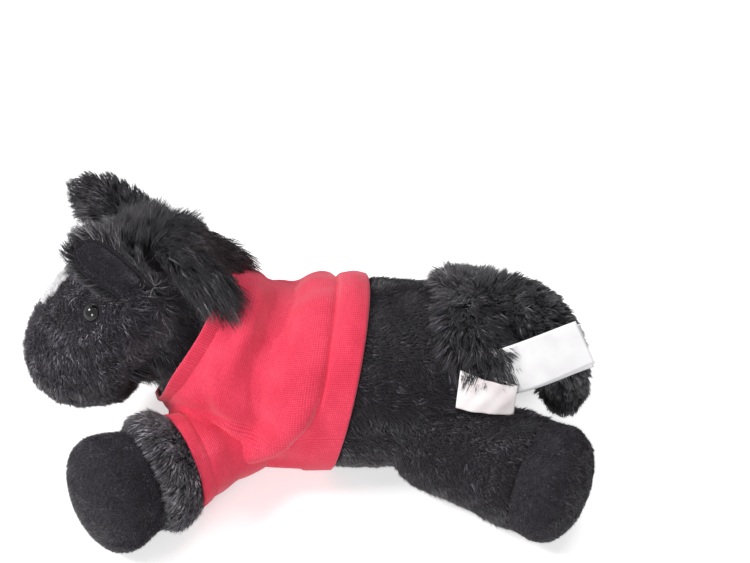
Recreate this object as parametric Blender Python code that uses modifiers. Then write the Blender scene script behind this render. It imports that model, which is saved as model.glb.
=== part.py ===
# Plush horse lying on its belly, in a knitted T-shirt.
# Metres, +Z up, nose towards -Y, so the horse's left side is at +X.
# Every stuffed piece is a cloth skin with an opening, over its own stuffing.

import math

import bmesh
import bpy
from mathutils import Matrix, Vector
from mathutils.bvhtree import BVHTree

MM = 0.001

# Cloth and clearances
GAP = 0.3 * MM
PLUSH = 2.0 * MM
JERSEY = 1.2 * MM
RIBBING = 1.6 * MM
LABEL_CLOTH = 0.6 * MM
FLAT_DEPTH = 0.5 * MM
FILL_EASE = 0.85 * MM
OVERRUN = 200 * MM
MERGE = 0.01 * MM

# Roundness
BODY_SEGMENTS = 16
HEAD_SEGMENTS = 16
LIMB_SEGMENTS = 16
SOCKET_SEGMENTS = 12
SOCKET_RINGS = 4
SHIRT_SEGMENTS = 40
SMALL_SEGMENTS = 12
EYE_SEGMENTS = 16

# Torso, rump at +Y
TORSO_LENGTH = 170 * MM
TORSO_HALF_WIDTH = 49 * MM
TORSO_HALF_HEIGHT = 50 * MM
TORSO_REAR = 100 * MM
TORSO_AXIS = TORSO_HALF_HEIGHT - FLAT_DEPTH
BELLY_ROUND_SHARE = 0.78
# along the back from the rump, rise, width, height, tilt in degrees
TORSO_SHARES = (
    (0.020, 0.10, 0.38, 0.34, 0),
    (0.060, 0.06, 0.66, 0.61, 0),
    (0.130, -0.02, 0.86, 0.80, 0),
    (0.240, -0.08, 0.96, 0.89, 0),
    (0.380, -0.08, 1.00, 0.92, 0),
    (0.520, -0.08, 1.00, 0.92, 0),
    (0.640, -0.12, 0.97, 0.89, 0),
    (0.750, -0.05, 0.94, 0.90, 6),
    (0.850, 0.14, 0.88, 0.86, 20),
    (0.925, 0.37, 0.74, 0.72, 33),
    (0.965, 0.46, 0.50, 0.50, 34),
)
COLLAR_RING = TORSO_SHARES[-2]
TORSO_REAR_POLE_SHARE = (0.0, 0.10)
TORSO_FRONT_POLE_SHARE = (0.985, 0.50)

# Neck, a short tube between two round ends
NECK_RADIUS = 25.5 * MM
NECK_LENGTH = 34 * MM
NECK_RISE = 35
NECK_ROOT_SHARE = (0.882, 0.45)
NECK_MOUTH = 30
NECK_TURN = 15

# Head, from the nape to the nose
HEAD_LENGTH = 66 * MM
HEAD_HALF_WIDTH = 40.5 * MM
HEAD_HALF_HEIGHT = 36.5 * MM
HEAD_NOD_DOWN = 5
HEAD_NOD_UP = 12
# ahead of the nod axis, rise, width, height, tilt in degrees
HEAD_SHARES = (
    (-0.08, -0.10, 0.73, 0.82, 24),
    (0.05, -0.06, 0.91, 0.95, 14),
    (0.22, -0.13, 1.00, 1.00, 0),
    (0.38, -0.25, 1.00, 0.99, -14),
    (0.53, -0.37, 0.93, 0.93, -26),
    (0.65, -0.47, 0.84, 0.83, -33),
    (0.75, -0.56, 0.74, 0.73, -37),
    (0.83, -0.63, 0.62, 0.60, -38),
    (0.885, -0.68, 0.42, 0.40, -38),
)
HEAD_FRONT_POLE_SHARE = (0.91, -0.70)

# Eyes, glossy domes on a stem that a washer holds inside
EYE_RADIUS = 4.3 * MM
EYE_DOME = 3.0 * MM
EYE_STEM_RADIUS = 1.4 * MM
EYE_STEM_LENGTH = 8.0 * MM
WASHER_RADIUS = 5.0 * MM
WASHER_THICKNESS = 1.6 * MM
EYE_CENTRE_SHARE = (0.24, -0.16)
EYE_AIM_SHARE = (0.70, -0.16, 0.50)

# White patch let into the forehead
BLAZE_HALF_WIDTH = 10 * MM
BLAZE_LENGTH = 30 * MM
BLAZE_CENTRE_SHARE = (0.40, -0.20)
BLAZE_LEAN = 48
# sideways and lengthways, round the jagged outline
BLAZE_OUTLINE_SHARES = (
    (0.0, 0.50), (-0.45, 0.30), (-0.55, 0.12), (-1.0, 0.08), (-0.75, -0.12),
    (-0.80, -0.25), (-0.35, -0.38), (0.0, -0.50), (0.40, -0.36), (0.85, -0.22),
    (0.72, -0.06), (1.0, 0.10), (0.52, 0.18), (0.42, 0.32),
)

# Ears, cupped leaves on a rounded root
EAR_LENGTH = 43 * MM
EAR_HALF_WIDTH = 12.4 * MM
EAR_CUP = 4 * MM
EAR_THICKNESS = 2.6 * MM
EAR_ROOT_RADIUS = 3.2 * MM
EAR_ROOT_LENGTH = 21 * MM
EAR_LINING = 1.0 * MM
EAR_ROWS = 6
EAR_COLUMNS = 6
# roundness of the tip, width at the root, widening towards the tip, curl of the tip
EAR_OUTLINE_SHARES = (2.4, 0.74, 0.44)
EAR_CURL_SHARE = 0.5
EAR_CENTRE_SHARE = (0.05, -0.03)
# from the head's middle to the root, along the root, and from root to tip
EAR_AIM_SHARE = (0.69, 0.05, 0.72)
EAR_ROOT_SHARE = (-0.30, 0.50, 0.70)
EAR_TIP_SHARE = (-0.14, -0.82, 0.55)
EAR_FOLD_DOWN = 3
EAR_FOLD_UP = 30

# Mane along the neck, and forelock between the ears
MANE_HALF_WIDTH = 17 * MM
MANE_HALF_HEIGHT = 10 * MM
MANE_LENGTH = 49 * MM
MANE_RISE = 48.5 * MM
# back from the head axis, height over the root, width, height
MANE_SHARES = (
    (0.16, 1.02, 0.55, 0.55),
    (0.26, 1.02, 0.85, 0.90),
    (0.42, 0.97, 1.00, 1.00),
    (0.60, 0.90, 1.00, 1.00),
    (0.77, 0.83, 0.88, 0.75),
    (0.89, 0.78, 0.55, 0.42),
)
MANE_POLES_SHARE = ((0.10, 1.00), (0.95, 0.76))
MANE_BACK_SHARE = 0.9
FORELOCK_HALF_WIDTH = 10 * MM
FORELOCK_HALF_HEIGHT = 6 * MM
FORELOCK_LENGTH = 34 * MM
# forward from the crown, rise, width, height
FORELOCK_SHARES = (
    (0.12, 0.10, 0.55, 0.60),
    (0.35, 0.10, 1.00, 1.00),
    (0.62, 0.00, 0.95, 0.90),
    (0.86, -0.22, 0.55, 0.50),
)
FORELOCK_CROWN_SHARE = (0.05, 0.42)
FORELOCK_POLE_SHARE = (1.0, -0.34)

# Legs, each on a ball that sits in a socket of the torso
LEG_AXIS = 27 * MM
SOLE_EDGE = 15 * MM
SWING_OUT = 20
SWING_LEEWAY = 2
SWING_IN = 2
FRONT_LEG = {
    "root_share": (0.80, 0.61), "splay": 36.5, "ball": 19 * MM,
    "reach": 88 * MM, "seam_share": 0.61,
}
HIND_LEG = {
    "root_share": (0.20, 0.69), "splay": 31, "ball": 26 * MM,
    "reach": 78 * MM, "seam_share": 0.64,
}
HOOF_HALF_WIDTH = 29 * MM
HOOF_HALF_HEIGHT = LEG_AXIS + FLAT_DEPTH
# from the ball's middle to the seam; the girth goes from the ball to the cuff
LEG_SHARES = ((0.30, 0.03), (0.64, 0.30), (0.76, 0.90), (0.92, 1.00), (1.00, 0.60))
# from the seam to the sole; the girth goes from the seam to the full hoof
HOOF_SHARES = ((0.0, 0.0), (0.35, 0.60), (1.00, 1.00))

# Tail, a long-haired tuft that hangs behind the rump
TAIL_BALL = 10 * MM
TAIL_ROOT_SHARE = (0.118, 0.56)
TAIL_EXIT = 35
TAIL_LENGTH = 56 * MM
TAIL_HALF_WIDTH = 23 * MM
TAIL_HALF_HEIGHT = 12.5 * MM
TAIL_WAG = 12
TAIL_LEEWAY = 8
# back from the ball, rise, width, height, tilt in degrees
TAIL_SHARES = (
    (0.16, 0.12, 0.42, 0.70, 26),
    (0.36, 0.15, 0.66, 0.84, -6),
    (0.58, 0.03, 0.95, 1.00, -36),
    (0.78, -0.20, 1.00, 1.00, -60),
    (0.90, -0.50, 0.95, 0.96, -78),
    (0.95, -0.79, 0.72, 0.80, -87),
    (0.95, -0.94, 0.42, 0.46, -90),
)
TAIL_POLE_SHARE = (0.945, -1.02)

# Filling
BAG_HALF_WIDTH = 30 * MM
BAG_HALF_LENGTH = 23 * MM
BAG_HALF_HEIGHT = 15 * MM
BAG_PLACE_SHARE = (0.52, 0.36)

# T-shirt
SHIRT_LOOSE = 0.4 * MM
HEM_PLACE_SHARE = 0.475
HEM_LEAN = 14
FOLD_HEIGHT = 3.2 * MM
FOLD_HALF_WIDTH = 10 * MM
# along the body and degrees round it where a fold starts and ends, and how high it is
FOLD_SHARES = (
    (0.74, -25, 0.49, 22, 1.0),
    (0.78, 0, 0.50, 58, 0.8),
    (0.84, 32, 0.60, 84, 0.6),
    (0.72, -48, 0.52, -12, 0.9),
    (0.86, 118, 0.56, 104, 0.6),
    (0.78, 178, 0.50, 128, 0.8),
    (0.74, 205, 0.49, 160, 1.0),
    (0.72, 228, 0.52, 196, 0.7),
)
COLLAR_PLACE_SHARE = (0.925, 0.39)
COLLAR_LEAN = 33
COLLAR_LOOSE = 2.8 * MM
COLLAR_WIDTH = 7 * MM
COLLAR_RADIUS = COLLAR_LOOSE + max(COLLAR_RING[2] * TORSO_HALF_WIDTH, COLLAR_RING[3] * TORSO_HALF_HEIGHT)
COLLAR_FLARE = 0.8 * MM
SLEEVE_LENGTH = 34 * MM
SLEEVE_LOOSE = 0.8 * MM
SLEEVE_FLARE = 1.0 * MM
SLEEVE_LIFT = 0.4 * MM
SLEEVE_STEPS = 4

# Labels sewn into the hip seam
CARE_LABEL = {"width": 20 * MM, "length": 50 * MM, "rise": 34, "root_share": (0.075, 0.28)}
SIDE_LABEL = {"width": 16 * MM, "length": 30 * MM, "rise": -3, "root_share": (0.17, 0.36)}

BLACK_PLUSH = ((0.012, 0.012, 0.014), 0.9, 0.0)
CHARCOAL_PLUSH = ((0.035, 0.035, 0.040), 0.85, 0.0)
LONG_PILE = ((0.020, 0.020, 0.023), 0.8, 0.0)
WHITE_PLUSH = ((0.85, 0.83, 0.80), 0.9, 0.0)
FIBREFILL = ((0.90, 0.90, 0.88), 0.95, 0.0)
PELLET_CLOTH = ((0.60, 0.60, 0.62), 0.8, 0.0)
RED_JERSEY = ((0.76, 0.035, 0.055), 0.85, 0.0)
EYE_PLASTIC = ((0.004, 0.004, 0.005), 0.08, 0.0)
WASHER_PLASTIC = ((0.70, 0.70, 0.70), 0.5, 0.0)
LABEL_SATIN = ((0.88, 0.88, 0.88), 0.5, 0.0)


SIDEWAYS = Vector((1, 0, 0))
UPWARDS = Vector((0, 0, 1))


def clear_scene():
    for old in list(bpy.data.objects):
        bpy.data.objects.remove(old)


def new_collection(name):
    collection = bpy.data.collections.new(name)
    bpy.context.scene.collection.children.link(collection)
    return collection


clear_scene()
PARTS = new_collection("plush_horse")
CUTTERS = new_collection("cutters")
ROOT = bpy.data.objects.new("torso_frame", None)
PARTS.objects.link(ROOT)


def material(name, look):
    colour, roughness, metallic = look
    made = bpy.data.materials.get(name) or bpy.data.materials.new(name)
    made.use_nodes = True
    shader = made.node_tree.nodes["Principled BSDF"]
    shader.inputs["Base Color"].default_value = (*colour, 1.0)
    shader.inputs["Roughness"].default_value = roughness
    shader.inputs["Metallic"].default_value = metallic
    return made


def joint_empty(name, place, parent):
    empty = bpy.data.objects.new(name, None)
    PARTS.objects.link(empty)
    empty.matrix_world = Matrix.Translation(place)
    attach(empty, parent)
    return empty


def attach(child, parent):
    bpy.context.view_layer.update()
    child.parent = parent
    child.matrix_parent_inverse = parent.matrix_world.inverted()


def add_object(name, mesh, collection):
    made = bpy.data.objects.new(name, mesh)
    collection.objects.link(made)
    return made


def as_part(piece, look, parent):
    """Gives a finished piece its own material and the body that carries it."""
    piece.data.materials.clear()
    piece.data.materials.append(material(piece.name, look))
    piece.data.shade_smooth()
    attach(piece, parent)
    return piece


def as_cutter(piece):
    for collection in list(piece.users_collection):
        collection.objects.unlink(piece)
    CUTTERS.objects.link(piece)
    piece.hide_render = True
    piece.display_type = "WIRE"
    attach(piece, ROOT)
    return piece


def boolean(piece, cutter, operation):
    change = piece.modifiers.new(cutter.name, "BOOLEAN")
    change.operation = operation
    change.solver = "EXACT"
    change.object = cutter


def cut(piece, *cutters):
    for cutter in cutters:
        boolean(piece, cutter, "DIFFERENCE")


def keep(piece, cutter):
    boolean(piece, cutter, "INTERSECT")


def shell(piece, thickness, inward=True):
    skin = piece.modifiers.new("cloth", "SOLIDIFY")
    skin.thickness = thickness
    skin.offset = -1.0 if inward else 1.0
    skin.use_even_offset = False


def moved_out(piece, distance):
    push = piece.modifiers.new("clearance", "DISPLACE")
    push.mid_level = 0.0
    push.strength = distance


def lean(degrees):
    """Forward and up directions of a ring whose front is lifted by some degrees."""
    angle = math.radians(degrees)
    forward = Vector((0, -math.cos(angle), math.sin(angle)))
    up = Vector((0, math.sin(angle), math.cos(angle)))
    return forward, up


def ring(centre, side, up, half_width, half_height, count, belly=1.0):
    """An oval of points; a belly under 1 makes its lower half fuller."""
    points = []
    for step in range(count):
        angle = 2 * math.pi * step / count
        rise = math.sin(angle)
        if rise < 0:
            rise = -((-rise) ** belly)
        points.append(centre + side * (half_width * math.cos(angle)) + up * (half_height * rise))
    return points


def loft(name, rings, start, end, open_end=False):
    """Skins rings of equal count, with a point at each end or an open last ring."""
    build = bmesh.new()
    rows = []
    for points in rings:
        rows.append([build.verts.new(point) for point in points])
    count = len(rings[0])
    first = build.verts.new(start)
    last = build.verts.new(end)
    cap = []
    for step in range(count):
        following = (step + 1) % count
        build.faces.new((first, rows[0][following], rows[0][step]))
        for row, beyond in zip(rows, rows[1:]):
            build.faces.new((row[step], row[following], beyond[following], beyond[step]))
        cap.append(build.faces.new((last, rows[-1][step], rows[-1][following])))
    bmesh.ops.recalc_face_normals(build, faces=build.faces)
    if build.calc_volume(signed=True) < 0:
        bmesh.ops.reverse_faces(build, faces=build.faces)
    if open_end:
        bmesh.ops.delete(build, geom=cap, context="FACES_ONLY")
        bmesh.ops.delete(build, geom=[last], context="VERTS")
    mesh = bpy.data.meshes.new(name)
    build.to_mesh(mesh)
    build.free()
    return add_object(name, mesh, PARTS)


def turned(name, profile, steps, place, direction):
    """Turns a profile of (radius, height) points, top to bottom, round its Z axis."""
    mesh = bpy.data.meshes.new(name)
    points = [(radius, 0, height) for radius, height in profile]
    edges = [(index, index + 1) for index in range(len(points) - 1)]
    mesh.from_pydata(points, edges, [])
    made = add_object(name, mesh, PARTS)
    spin = made.modifiers.new("turn", "SCREW")
    spin.steps = steps
    spin.render_steps = steps
    spin.use_merge_vertices = True
    spin.merge_threshold = MERGE
    made.location = place
    made.rotation_euler = direction.to_track_quat("Z", "Y").to_euler()
    return made


def box(name, low, high, place=Vector(), tilt=0.0):
    bpy.ops.mesh.primitive_cube_add(size=1)
    made = bpy.context.object
    made.name = name
    size = Vector(high) - Vector(low)
    middle = (Vector(high) + Vector(low)) / 2
    made.data.transform(Matrix.Translation(middle) @ Matrix.Diagonal((*size, 1)))
    made.matrix_world = Matrix.Translation(place) @ Matrix.Rotation(tilt, 4, "X")
    return as_cutter(made)


def socket(name, place, direction, radius, swing, step_out):
    """Cutter for a ball and its tube, flared so that the tube can swing.

    Its corners lie further out than the ball, so that its facets stay clear of it.
    """
    half_step = (math.pi / 2 - math.radians(swing)) / SOCKET_RINGS / 2
    true = (radius + GAP) / math.cos(math.pi / SOCKET_SEGMENTS) / math.cos(half_step)
    wide = true + step_out
    flare = math.radians(swing)
    far = OVERRUN / 2
    start_height = -wide * math.sin(flare)
    spread = (far - start_height) * math.tan(flare)
    profile = [(0, far), (wide * math.cos(flare) + spread, far)]
    profile.append((wide * math.cos(flare), start_height))
    arc_end = math.pi / 2 - flare
    for index in range(SOCKET_RINGS):
        angle = arc_end * (1 - index / SOCKET_RINGS)
        profile.append((true * math.sin(angle), -true * math.cos(angle)))
    profile.append((0, -true))
    return as_cutter(turned(name, profile, SOCKET_SEGMENTS, place, direction))


def torso_place(share, rise_share):
    y = TORSO_REAR - share * TORSO_LENGTH
    return Vector((0, y, TORSO_AXIS + rise_share * TORSO_HALF_HEIGHT))


def torso_rings(segments=BODY_SEGMENTS):
    rings = []
    for along, rise, width, height, tilt in TORSO_SHARES:
        _, up = lean(tilt)
        half_width = width * TORSO_HALF_WIDTH
        half_height = height * TORSO_HALF_HEIGHT
        centre = torso_place(along, rise)
        points = ring(centre, SIDEWAYS, up, half_width, half_height, segments, BELLY_ROUND_SHARE)
        rings.append(points)
    return rings


def torso_loft(name, open_end=False):
    rear = torso_place(*TORSO_REAR_POLE_SHARE)
    front = torso_place(*TORSO_FRONT_POLE_SHARE)
    return loft(name, torso_rings(), rear, front, open_end)


NECK_FORWARD, _ = lean(NECK_RISE)
NECK_PIVOT = torso_place(*NECK_ROOT_SHARE)
HEAD_PIVOT = NECK_PIVOT + NECK_FORWARD * NECK_LENGTH


def head_place(ahead, rise):
    return HEAD_PIVOT + Vector((0, -ahead * HEAD_LENGTH, rise * HEAD_LENGTH))


def head_loft(name, open_end=False):
    rings = []
    for ahead, rise, width, height, tilt in HEAD_SHARES:
        _, up = lean(tilt)
        half_width = width * HEAD_HALF_WIDTH
        half_height = height * HEAD_HALF_HEIGHT
        centre = head_place(ahead, rise)
        rings.append(ring(centre, SIDEWAYS, up, half_width, half_height, HEAD_SEGMENTS))
    rings.reverse()
    return loft(name, rings, head_place(*HEAD_FRONT_POLE_SHARE), HEAD_PIVOT, open_end)


def surface_hit(piece, start, direction):
    """Where a line from inside a piece leaves its skin, and the way out there."""
    bpy.context.view_layer.update()
    tree = BVHTree.FromObject(piece, bpy.context.evaluated_depsgraph_get())
    place, normal, _, _ = tree.ray_cast(start, direction.normalized())
    return place, normal


def leg_frame(leg, side):
    share, out_share = leg["root_share"]
    root = torso_place(share, 0)
    root.x = side * out_share * TORSO_HALF_WIDTH
    root.z = LEG_AXIS
    heading = -1 if leg is FRONT_LEG else 1
    splay = math.radians(leg["splay"])
    direction = Vector((side * math.sin(splay), heading * math.cos(splay), 0))
    across = UPWARDS.cross(direction)
    return root, direction, across


def mix(low, high, share):
    return low + (high - low) * share


def leg_rings(leg, side, part):
    """Rings of the ball and leg, of the hoof, or of both in one."""
    root, direction, across = leg_frame(leg, side)
    ball = leg["ball"]
    seam = leg["reach"] * leg["seam_share"]
    seam_width = mix(ball, HOOF_HALF_HEIGHT, LEG_SHARES[-1][1])
    sizes = []
    if part != "hoof":
        for degrees in (30, 60, 90):
            angle = math.radians(degrees)
            girth = ball * math.sin(angle)
            sizes.append((-ball * math.cos(angle), girth, girth))
        for along, growth in LEG_SHARES:
            girth = mix(ball, HOOF_HALF_HEIGHT, growth)
            sizes.append((along * seam, girth, girth))
    if part != "leg":
        start = seam + GAP if part == "hoof" else seam
        for along, growth in HOOF_SHARES:
            if part == "both" and along == 0:
                continue
            width = mix(seam_width, HOOF_HALF_WIDTH, growth)
            height = mix(seam_width, HOOF_HALF_HEIGHT, growth)
            sizes.append((mix(start, leg["reach"] - SOLE_EDGE, along), width, height))
        for degrees in (30, 60, 90):
            angle = math.radians(degrees)
            drawn_in = SOLE_EDGE * (1 - math.cos(angle))
            along = leg["reach"] - SOLE_EDGE * (1 - math.sin(angle))
            sizes.append((along, HOOF_HALF_WIDTH - drawn_in, HOOF_HALF_HEIGHT - drawn_in))
    return [ring(root + direction * along, across, UPWARDS, width, height, LIMB_SEGMENTS)
            for along, width, height in sizes]


def make_floor_cutter():
    return box("floor", (-OVERRUN, -OVERRUN, -OVERRUN), (OVERRUN, OVERRUN, 0))


def make_legs(floor):
    """Four legs; returns the cutters that make room for them in the torso and shirt."""
    sockets = []
    armholes = []
    for leg, leg_name in ((FRONT_LEG, "front"), (HIND_LEG, "hind")):
        for side, side_name in ((1, "left"), (-1, "right")):
            name = f"{leg_name}_leg_{side_name}"
            root, direction, _ = leg_frame(leg, side)
            axis = joint_empty(name + "_axis", root, ROOT)
            back = root - direction * leg["ball"]
            tip = root + direction * leg["reach"]
            cover = loft(name, leg_rings(leg, side, "leg"), back, tip, open_end=True)
            shell(cover, PLUSH)
            as_part(cover, BLACK_PLUSH, axis)
            hoof_rings = leg_rings(leg, side, "hoof")
            hoof_rings.reverse()
            hoof = loft(f"{leg_name}_hoof_{side_name}", hoof_rings, tip, root, open_end=True)
            shell(hoof, PLUSH)
            as_part(hoof, CHARCOAL_PLUSH, axis)
            stuffing_name = f"{leg_name}_leg_stuffing_{side_name}"
            filling = loft(stuffing_name, leg_rings(leg, side, "both"), back, tip)
            moved_out(filling, -(PLUSH + FILL_EASE))
            as_part(filling, FIBREFILL, axis)
            cut(cover, floor)
            cut(hoof, floor)
            wrapped = leg is FRONT_LEG
            step_out = SLEEVE_LOOSE + JERSEY + GAP * 2 if wrapped else 0.0
            swing = SWING_OUT + SWING_LEEWAY
            opening = socket(name + "_socket", root, direction, leg["ball"], swing, step_out)
            sockets.append(opening)
            if wrapped:
                armholes.append(opening)
                make_sleeve(leg, side, side_name, axis, floor)
    return sockets, armholes


def make_sleeve(leg, side, side_name, axis, floor):
    """A short tube of jersey round the upper leg, wider towards its hem."""
    root, direction, across = leg_frame(leg, side)
    seam = leg["reach"] * leg["seam_share"]
    rings = []
    for step in range(SLEEVE_STEPS + 1):
        share = step / SLEEVE_STEPS
        along = share * SLEEVE_LENGTH
        growth = 0.0
        for (low, girth), (high, next_girth) in zip(((0.0, 0.0),) + LEG_SHARES, LEG_SHARES):
            if low <= along / seam <= high:
                growth = mix(girth, next_girth, (along / seam - low) / (high - low))
        half = mix(leg["ball"], HOOF_HALF_HEIGHT, growth) + SLEEVE_LOOSE
        width = half + SLEEVE_FLARE * share
        height = half + SLEEVE_LIFT * share
        rings.append(ring(root + direction * along, across, UPWARDS, width, height, LIMB_SEGMENTS))
    sleeve = loft(f"sleeve_{side_name}", rings, root, root + direction * SLEEVE_LENGTH, open_end=True)
    open_first_ring(sleeve, root)
    shell(sleeve, JERSEY, inward=False)
    as_part(sleeve, RED_JERSEY, axis)
    cut(sleeve, floor)
    return sleeve


def open_first_ring(piece, pole):
    """Takes the pole away from a loft's start, so that both of its ends are open."""
    build = bmesh.new()
    build.from_mesh(piece.data)
    near = min(build.verts, key=lambda vert: (vert.co - pole).length)
    bmesh.ops.delete(build, geom=[near], context="VERTS")
    build.to_mesh(piece.data)
    build.free()


def make_torso(floor, sockets):
    cover = torso_loft("torso_cover", open_end=True)
    shell(cover, PLUSH)
    cut(cover, floor, *sockets)
    as_part(cover, BLACK_PLUSH, ROOT)
    filling = torso_loft("torso_stuffing")
    moved_out(filling, -(PLUSH + FILL_EASE))
    bag_cutter = make_pellet_bag("pellet_bag_space", GAP)
    as_cutter(bag_cutter)
    cut(filling, bag_cutter, *sockets)
    as_part(filling, FIBREFILL, ROOT)
    envelope = torso_loft("torso_filling_envelope")
    moved_out(envelope, -(PLUSH + FILL_EASE))
    as_cutter(envelope)
    bag = make_pellet_bag("pellet_bag", 0.0)
    keep(bag, envelope)
    belly = PLUSH + FILL_EASE
    floor_inside = box("belly_inside", (-OVERRUN, -OVERRUN, -OVERRUN), (OVERRUN, OVERRUN, belly))
    cut(bag, floor_inside)
    cut(filling, floor_inside)
    as_part(bag, PELLET_CLOTH, ROOT)


def make_pellet_bag(name, extra):
    """A flattened bag of pellets that lies on the belly inside the stuffing."""
    bpy.ops.mesh.primitive_uv_sphere_add(segments=LIMB_SEGMENTS, ring_count=10, radius=1)
    bag = bpy.context.object
    bag.name = name
    size = (BAG_HALF_WIDTH + extra, BAG_HALF_LENGTH + extra, BAG_HALF_HEIGHT + extra)
    bag.data.transform(Matrix.Diagonal((*size, 1)))
    share, height_share = BAG_PLACE_SHARE
    bag.location = torso_place(share, 0)
    bag.location.z = height_share * TORSO_HALF_HEIGHT
    for collection in list(bag.users_collection):
        collection.objects.unlink(bag)
    PARTS.objects.link(bag)
    return bag


def neck_profile(radius, mouth):
    """Outer line of the neck, front end first; the mouth is its opening at each end."""
    points = []
    for step in range(5):
        angle = math.radians(mix(mouth, 90, step / 4))
        points.append((radius * math.sin(angle), NECK_LENGTH + radius * math.cos(angle)))
    for step in range(5):
        angle = math.radians(mix(90, mouth, step / 4))
        points.append((radius * math.sin(angle), -radius * math.cos(angle)))
    return points


def make_neck(axis):
    outer = neck_profile(NECK_RADIUS, NECK_MOUTH)
    cover = turned("neck_cover", outer, HEAD_SEGMENTS, NECK_PIVOT, NECK_FORWARD)
    shell(cover, PLUSH)
    as_part(cover, BLACK_PLUSH, axis)
    inner = neck_profile(NECK_RADIUS - PLUSH - FILL_EASE, 0.0)
    filling = turned("neck_stuffing", inner, HEAD_SEGMENTS, NECK_PIVOT, NECK_FORWARD)
    as_part(filling, FIBREFILL, axis)


def make_head(axis):
    """Head skin, stuffing and forehead patch; returns the cutters that eyes and ears add to."""
    cover = head_loft("head_cover", open_end=True)
    shell(cover, PLUSH)
    filling = head_loft("head_stuffing")
    moved_out(filling, -(PLUSH + FILL_EASE))
    neck_seat = socket("head_socket", HEAD_PIVOT, -NECK_FORWARD, NECK_RADIUS, HEAD_NOD_UP, 0.0)
    cut(cover, neck_seat)
    cut(filling, neck_seat)
    blaze = head_loft("blaze", open_end=True)
    shell(blaze, PLUSH)
    keep(blaze, blaze_prism("blaze_outline", 0.0))
    cut(cover, blaze_prism("blaze_hole", GAP))
    as_part(cover, BLACK_PLUSH, axis)
    as_part(filling, FIBREFILL, axis)
    as_part(blaze, WHITE_PLUSH, axis)
    return cover, filling


def blaze_prism(name, extra):
    """A jagged diamond standing square to the forehead, extruded from a flat curve."""
    outline = bpy.data.curves.new(name, "CURVE")
    outline.dimensions = "2D"
    outline.fill_mode = "BOTH"
    outline.extrude = HEAD_HALF_HEIGHT / 2
    outline.offset = extra
    line = outline.splines.new("POLY")
    line.points.add(len(BLAZE_OUTLINE_SHARES) - 1)
    for point, (across, along) in zip(line.points, BLAZE_OUTLINE_SHARES):
        point.co = (across * BLAZE_HALF_WIDTH, along * BLAZE_LENGTH, 0, 1)
    line.use_cyclic_u = True
    guide = add_object(name + "_curve", outline, PARTS)
    _, up = lean(-BLAZE_LEAN)
    guide.location = head_place(*BLAZE_CENTRE_SHARE) + up * HEAD_HALF_HEIGHT
    guide.rotation_euler = up.to_track_quat("Z", "Y").to_euler()
    return as_cutter(mesh_of(guide, name))


def mesh_of(guide, name):
    """Turns a curve into a closed mesh at the same place."""
    bpy.context.view_layer.update()
    solid = guide.evaluated_get(bpy.context.evaluated_depsgraph_get())
    mesh = bpy.data.meshes.new_from_object(solid)
    build = bmesh.new()
    build.from_mesh(mesh)
    bmesh.ops.remove_doubles(build, verts=build.verts, dist=MERGE)
    build.to_mesh(mesh)
    build.free()
    made = add_object(name, mesh, PARTS)
    made.matrix_world = guide.matrix_world.copy()
    bpy.data.objects.remove(guide)
    return made


def eye_profile():
    """Dome, flat back and stem, top to bottom."""
    points = []
    for step in range(5):
        angle = math.radians(90 * step / 4)
        points.append((EYE_RADIUS * math.sin(angle), EYE_DOME * math.cos(angle)))
    points.append((EYE_STEM_RADIUS, 0))
    points.append((EYE_STEM_RADIUS, -EYE_STEM_LENGTH))
    points.append((0, -EYE_STEM_LENGTH))
    return points


def rod_profile(radius, top, bottom):
    return [(0, top), (radius, top), (radius, bottom), (0, bottom)]


def make_eyes(axis, cover, filling, skin):
    for side, side_name in ((1, "left"), (-1, "right")):
        aim = Vector((side * EYE_AIM_SHARE[0], EYE_AIM_SHARE[1], EYE_AIM_SHARE[2]))
        place, normal = surface_hit(skin, head_place(*EYE_CENTRE_SHARE), aim)
        seat = place + normal * (GAP * 2)
        eye = turned(f"eye_{side_name}", eye_profile(), EYE_SEGMENTS, seat, normal)
        as_part(eye, EYE_PLASTIC, axis)
        hole = rod_profile(EYE_STEM_RADIUS + GAP * 2, EYE_DOME, -PLUSH * 2)
        stem_hole = as_cutter(turned(f"eye_hole_{side_name}", hole, SMALL_SEGMENTS, place, normal))
        cut(cover, stem_hole)
        top = -(PLUSH + GAP * 5)
        disc = [(WASHER_RADIUS, top), (WASHER_RADIUS, top - WASHER_THICKNESS)]
        inner = EYE_STEM_RADIUS + GAP
        disc += [(inner, top - WASHER_THICKNESS), (inner, top), (WASHER_RADIUS, top)]
        washer = turned(f"eye_washer_{side_name}", disc, EYE_SEGMENTS, place, normal)
        as_part(washer, WASHER_PLASTIC, axis)
        pocket = rod_profile(WASHER_RADIUS + GAP * 2, EYE_DOME, -(EYE_STEM_LENGTH + GAP * 2))
        pocket_cutter = turned(f"eye_pocket_{side_name}", pocket, SMALL_SEGMENTS, place, normal)
        cut(filling, as_cutter(pocket_cutter))


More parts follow.
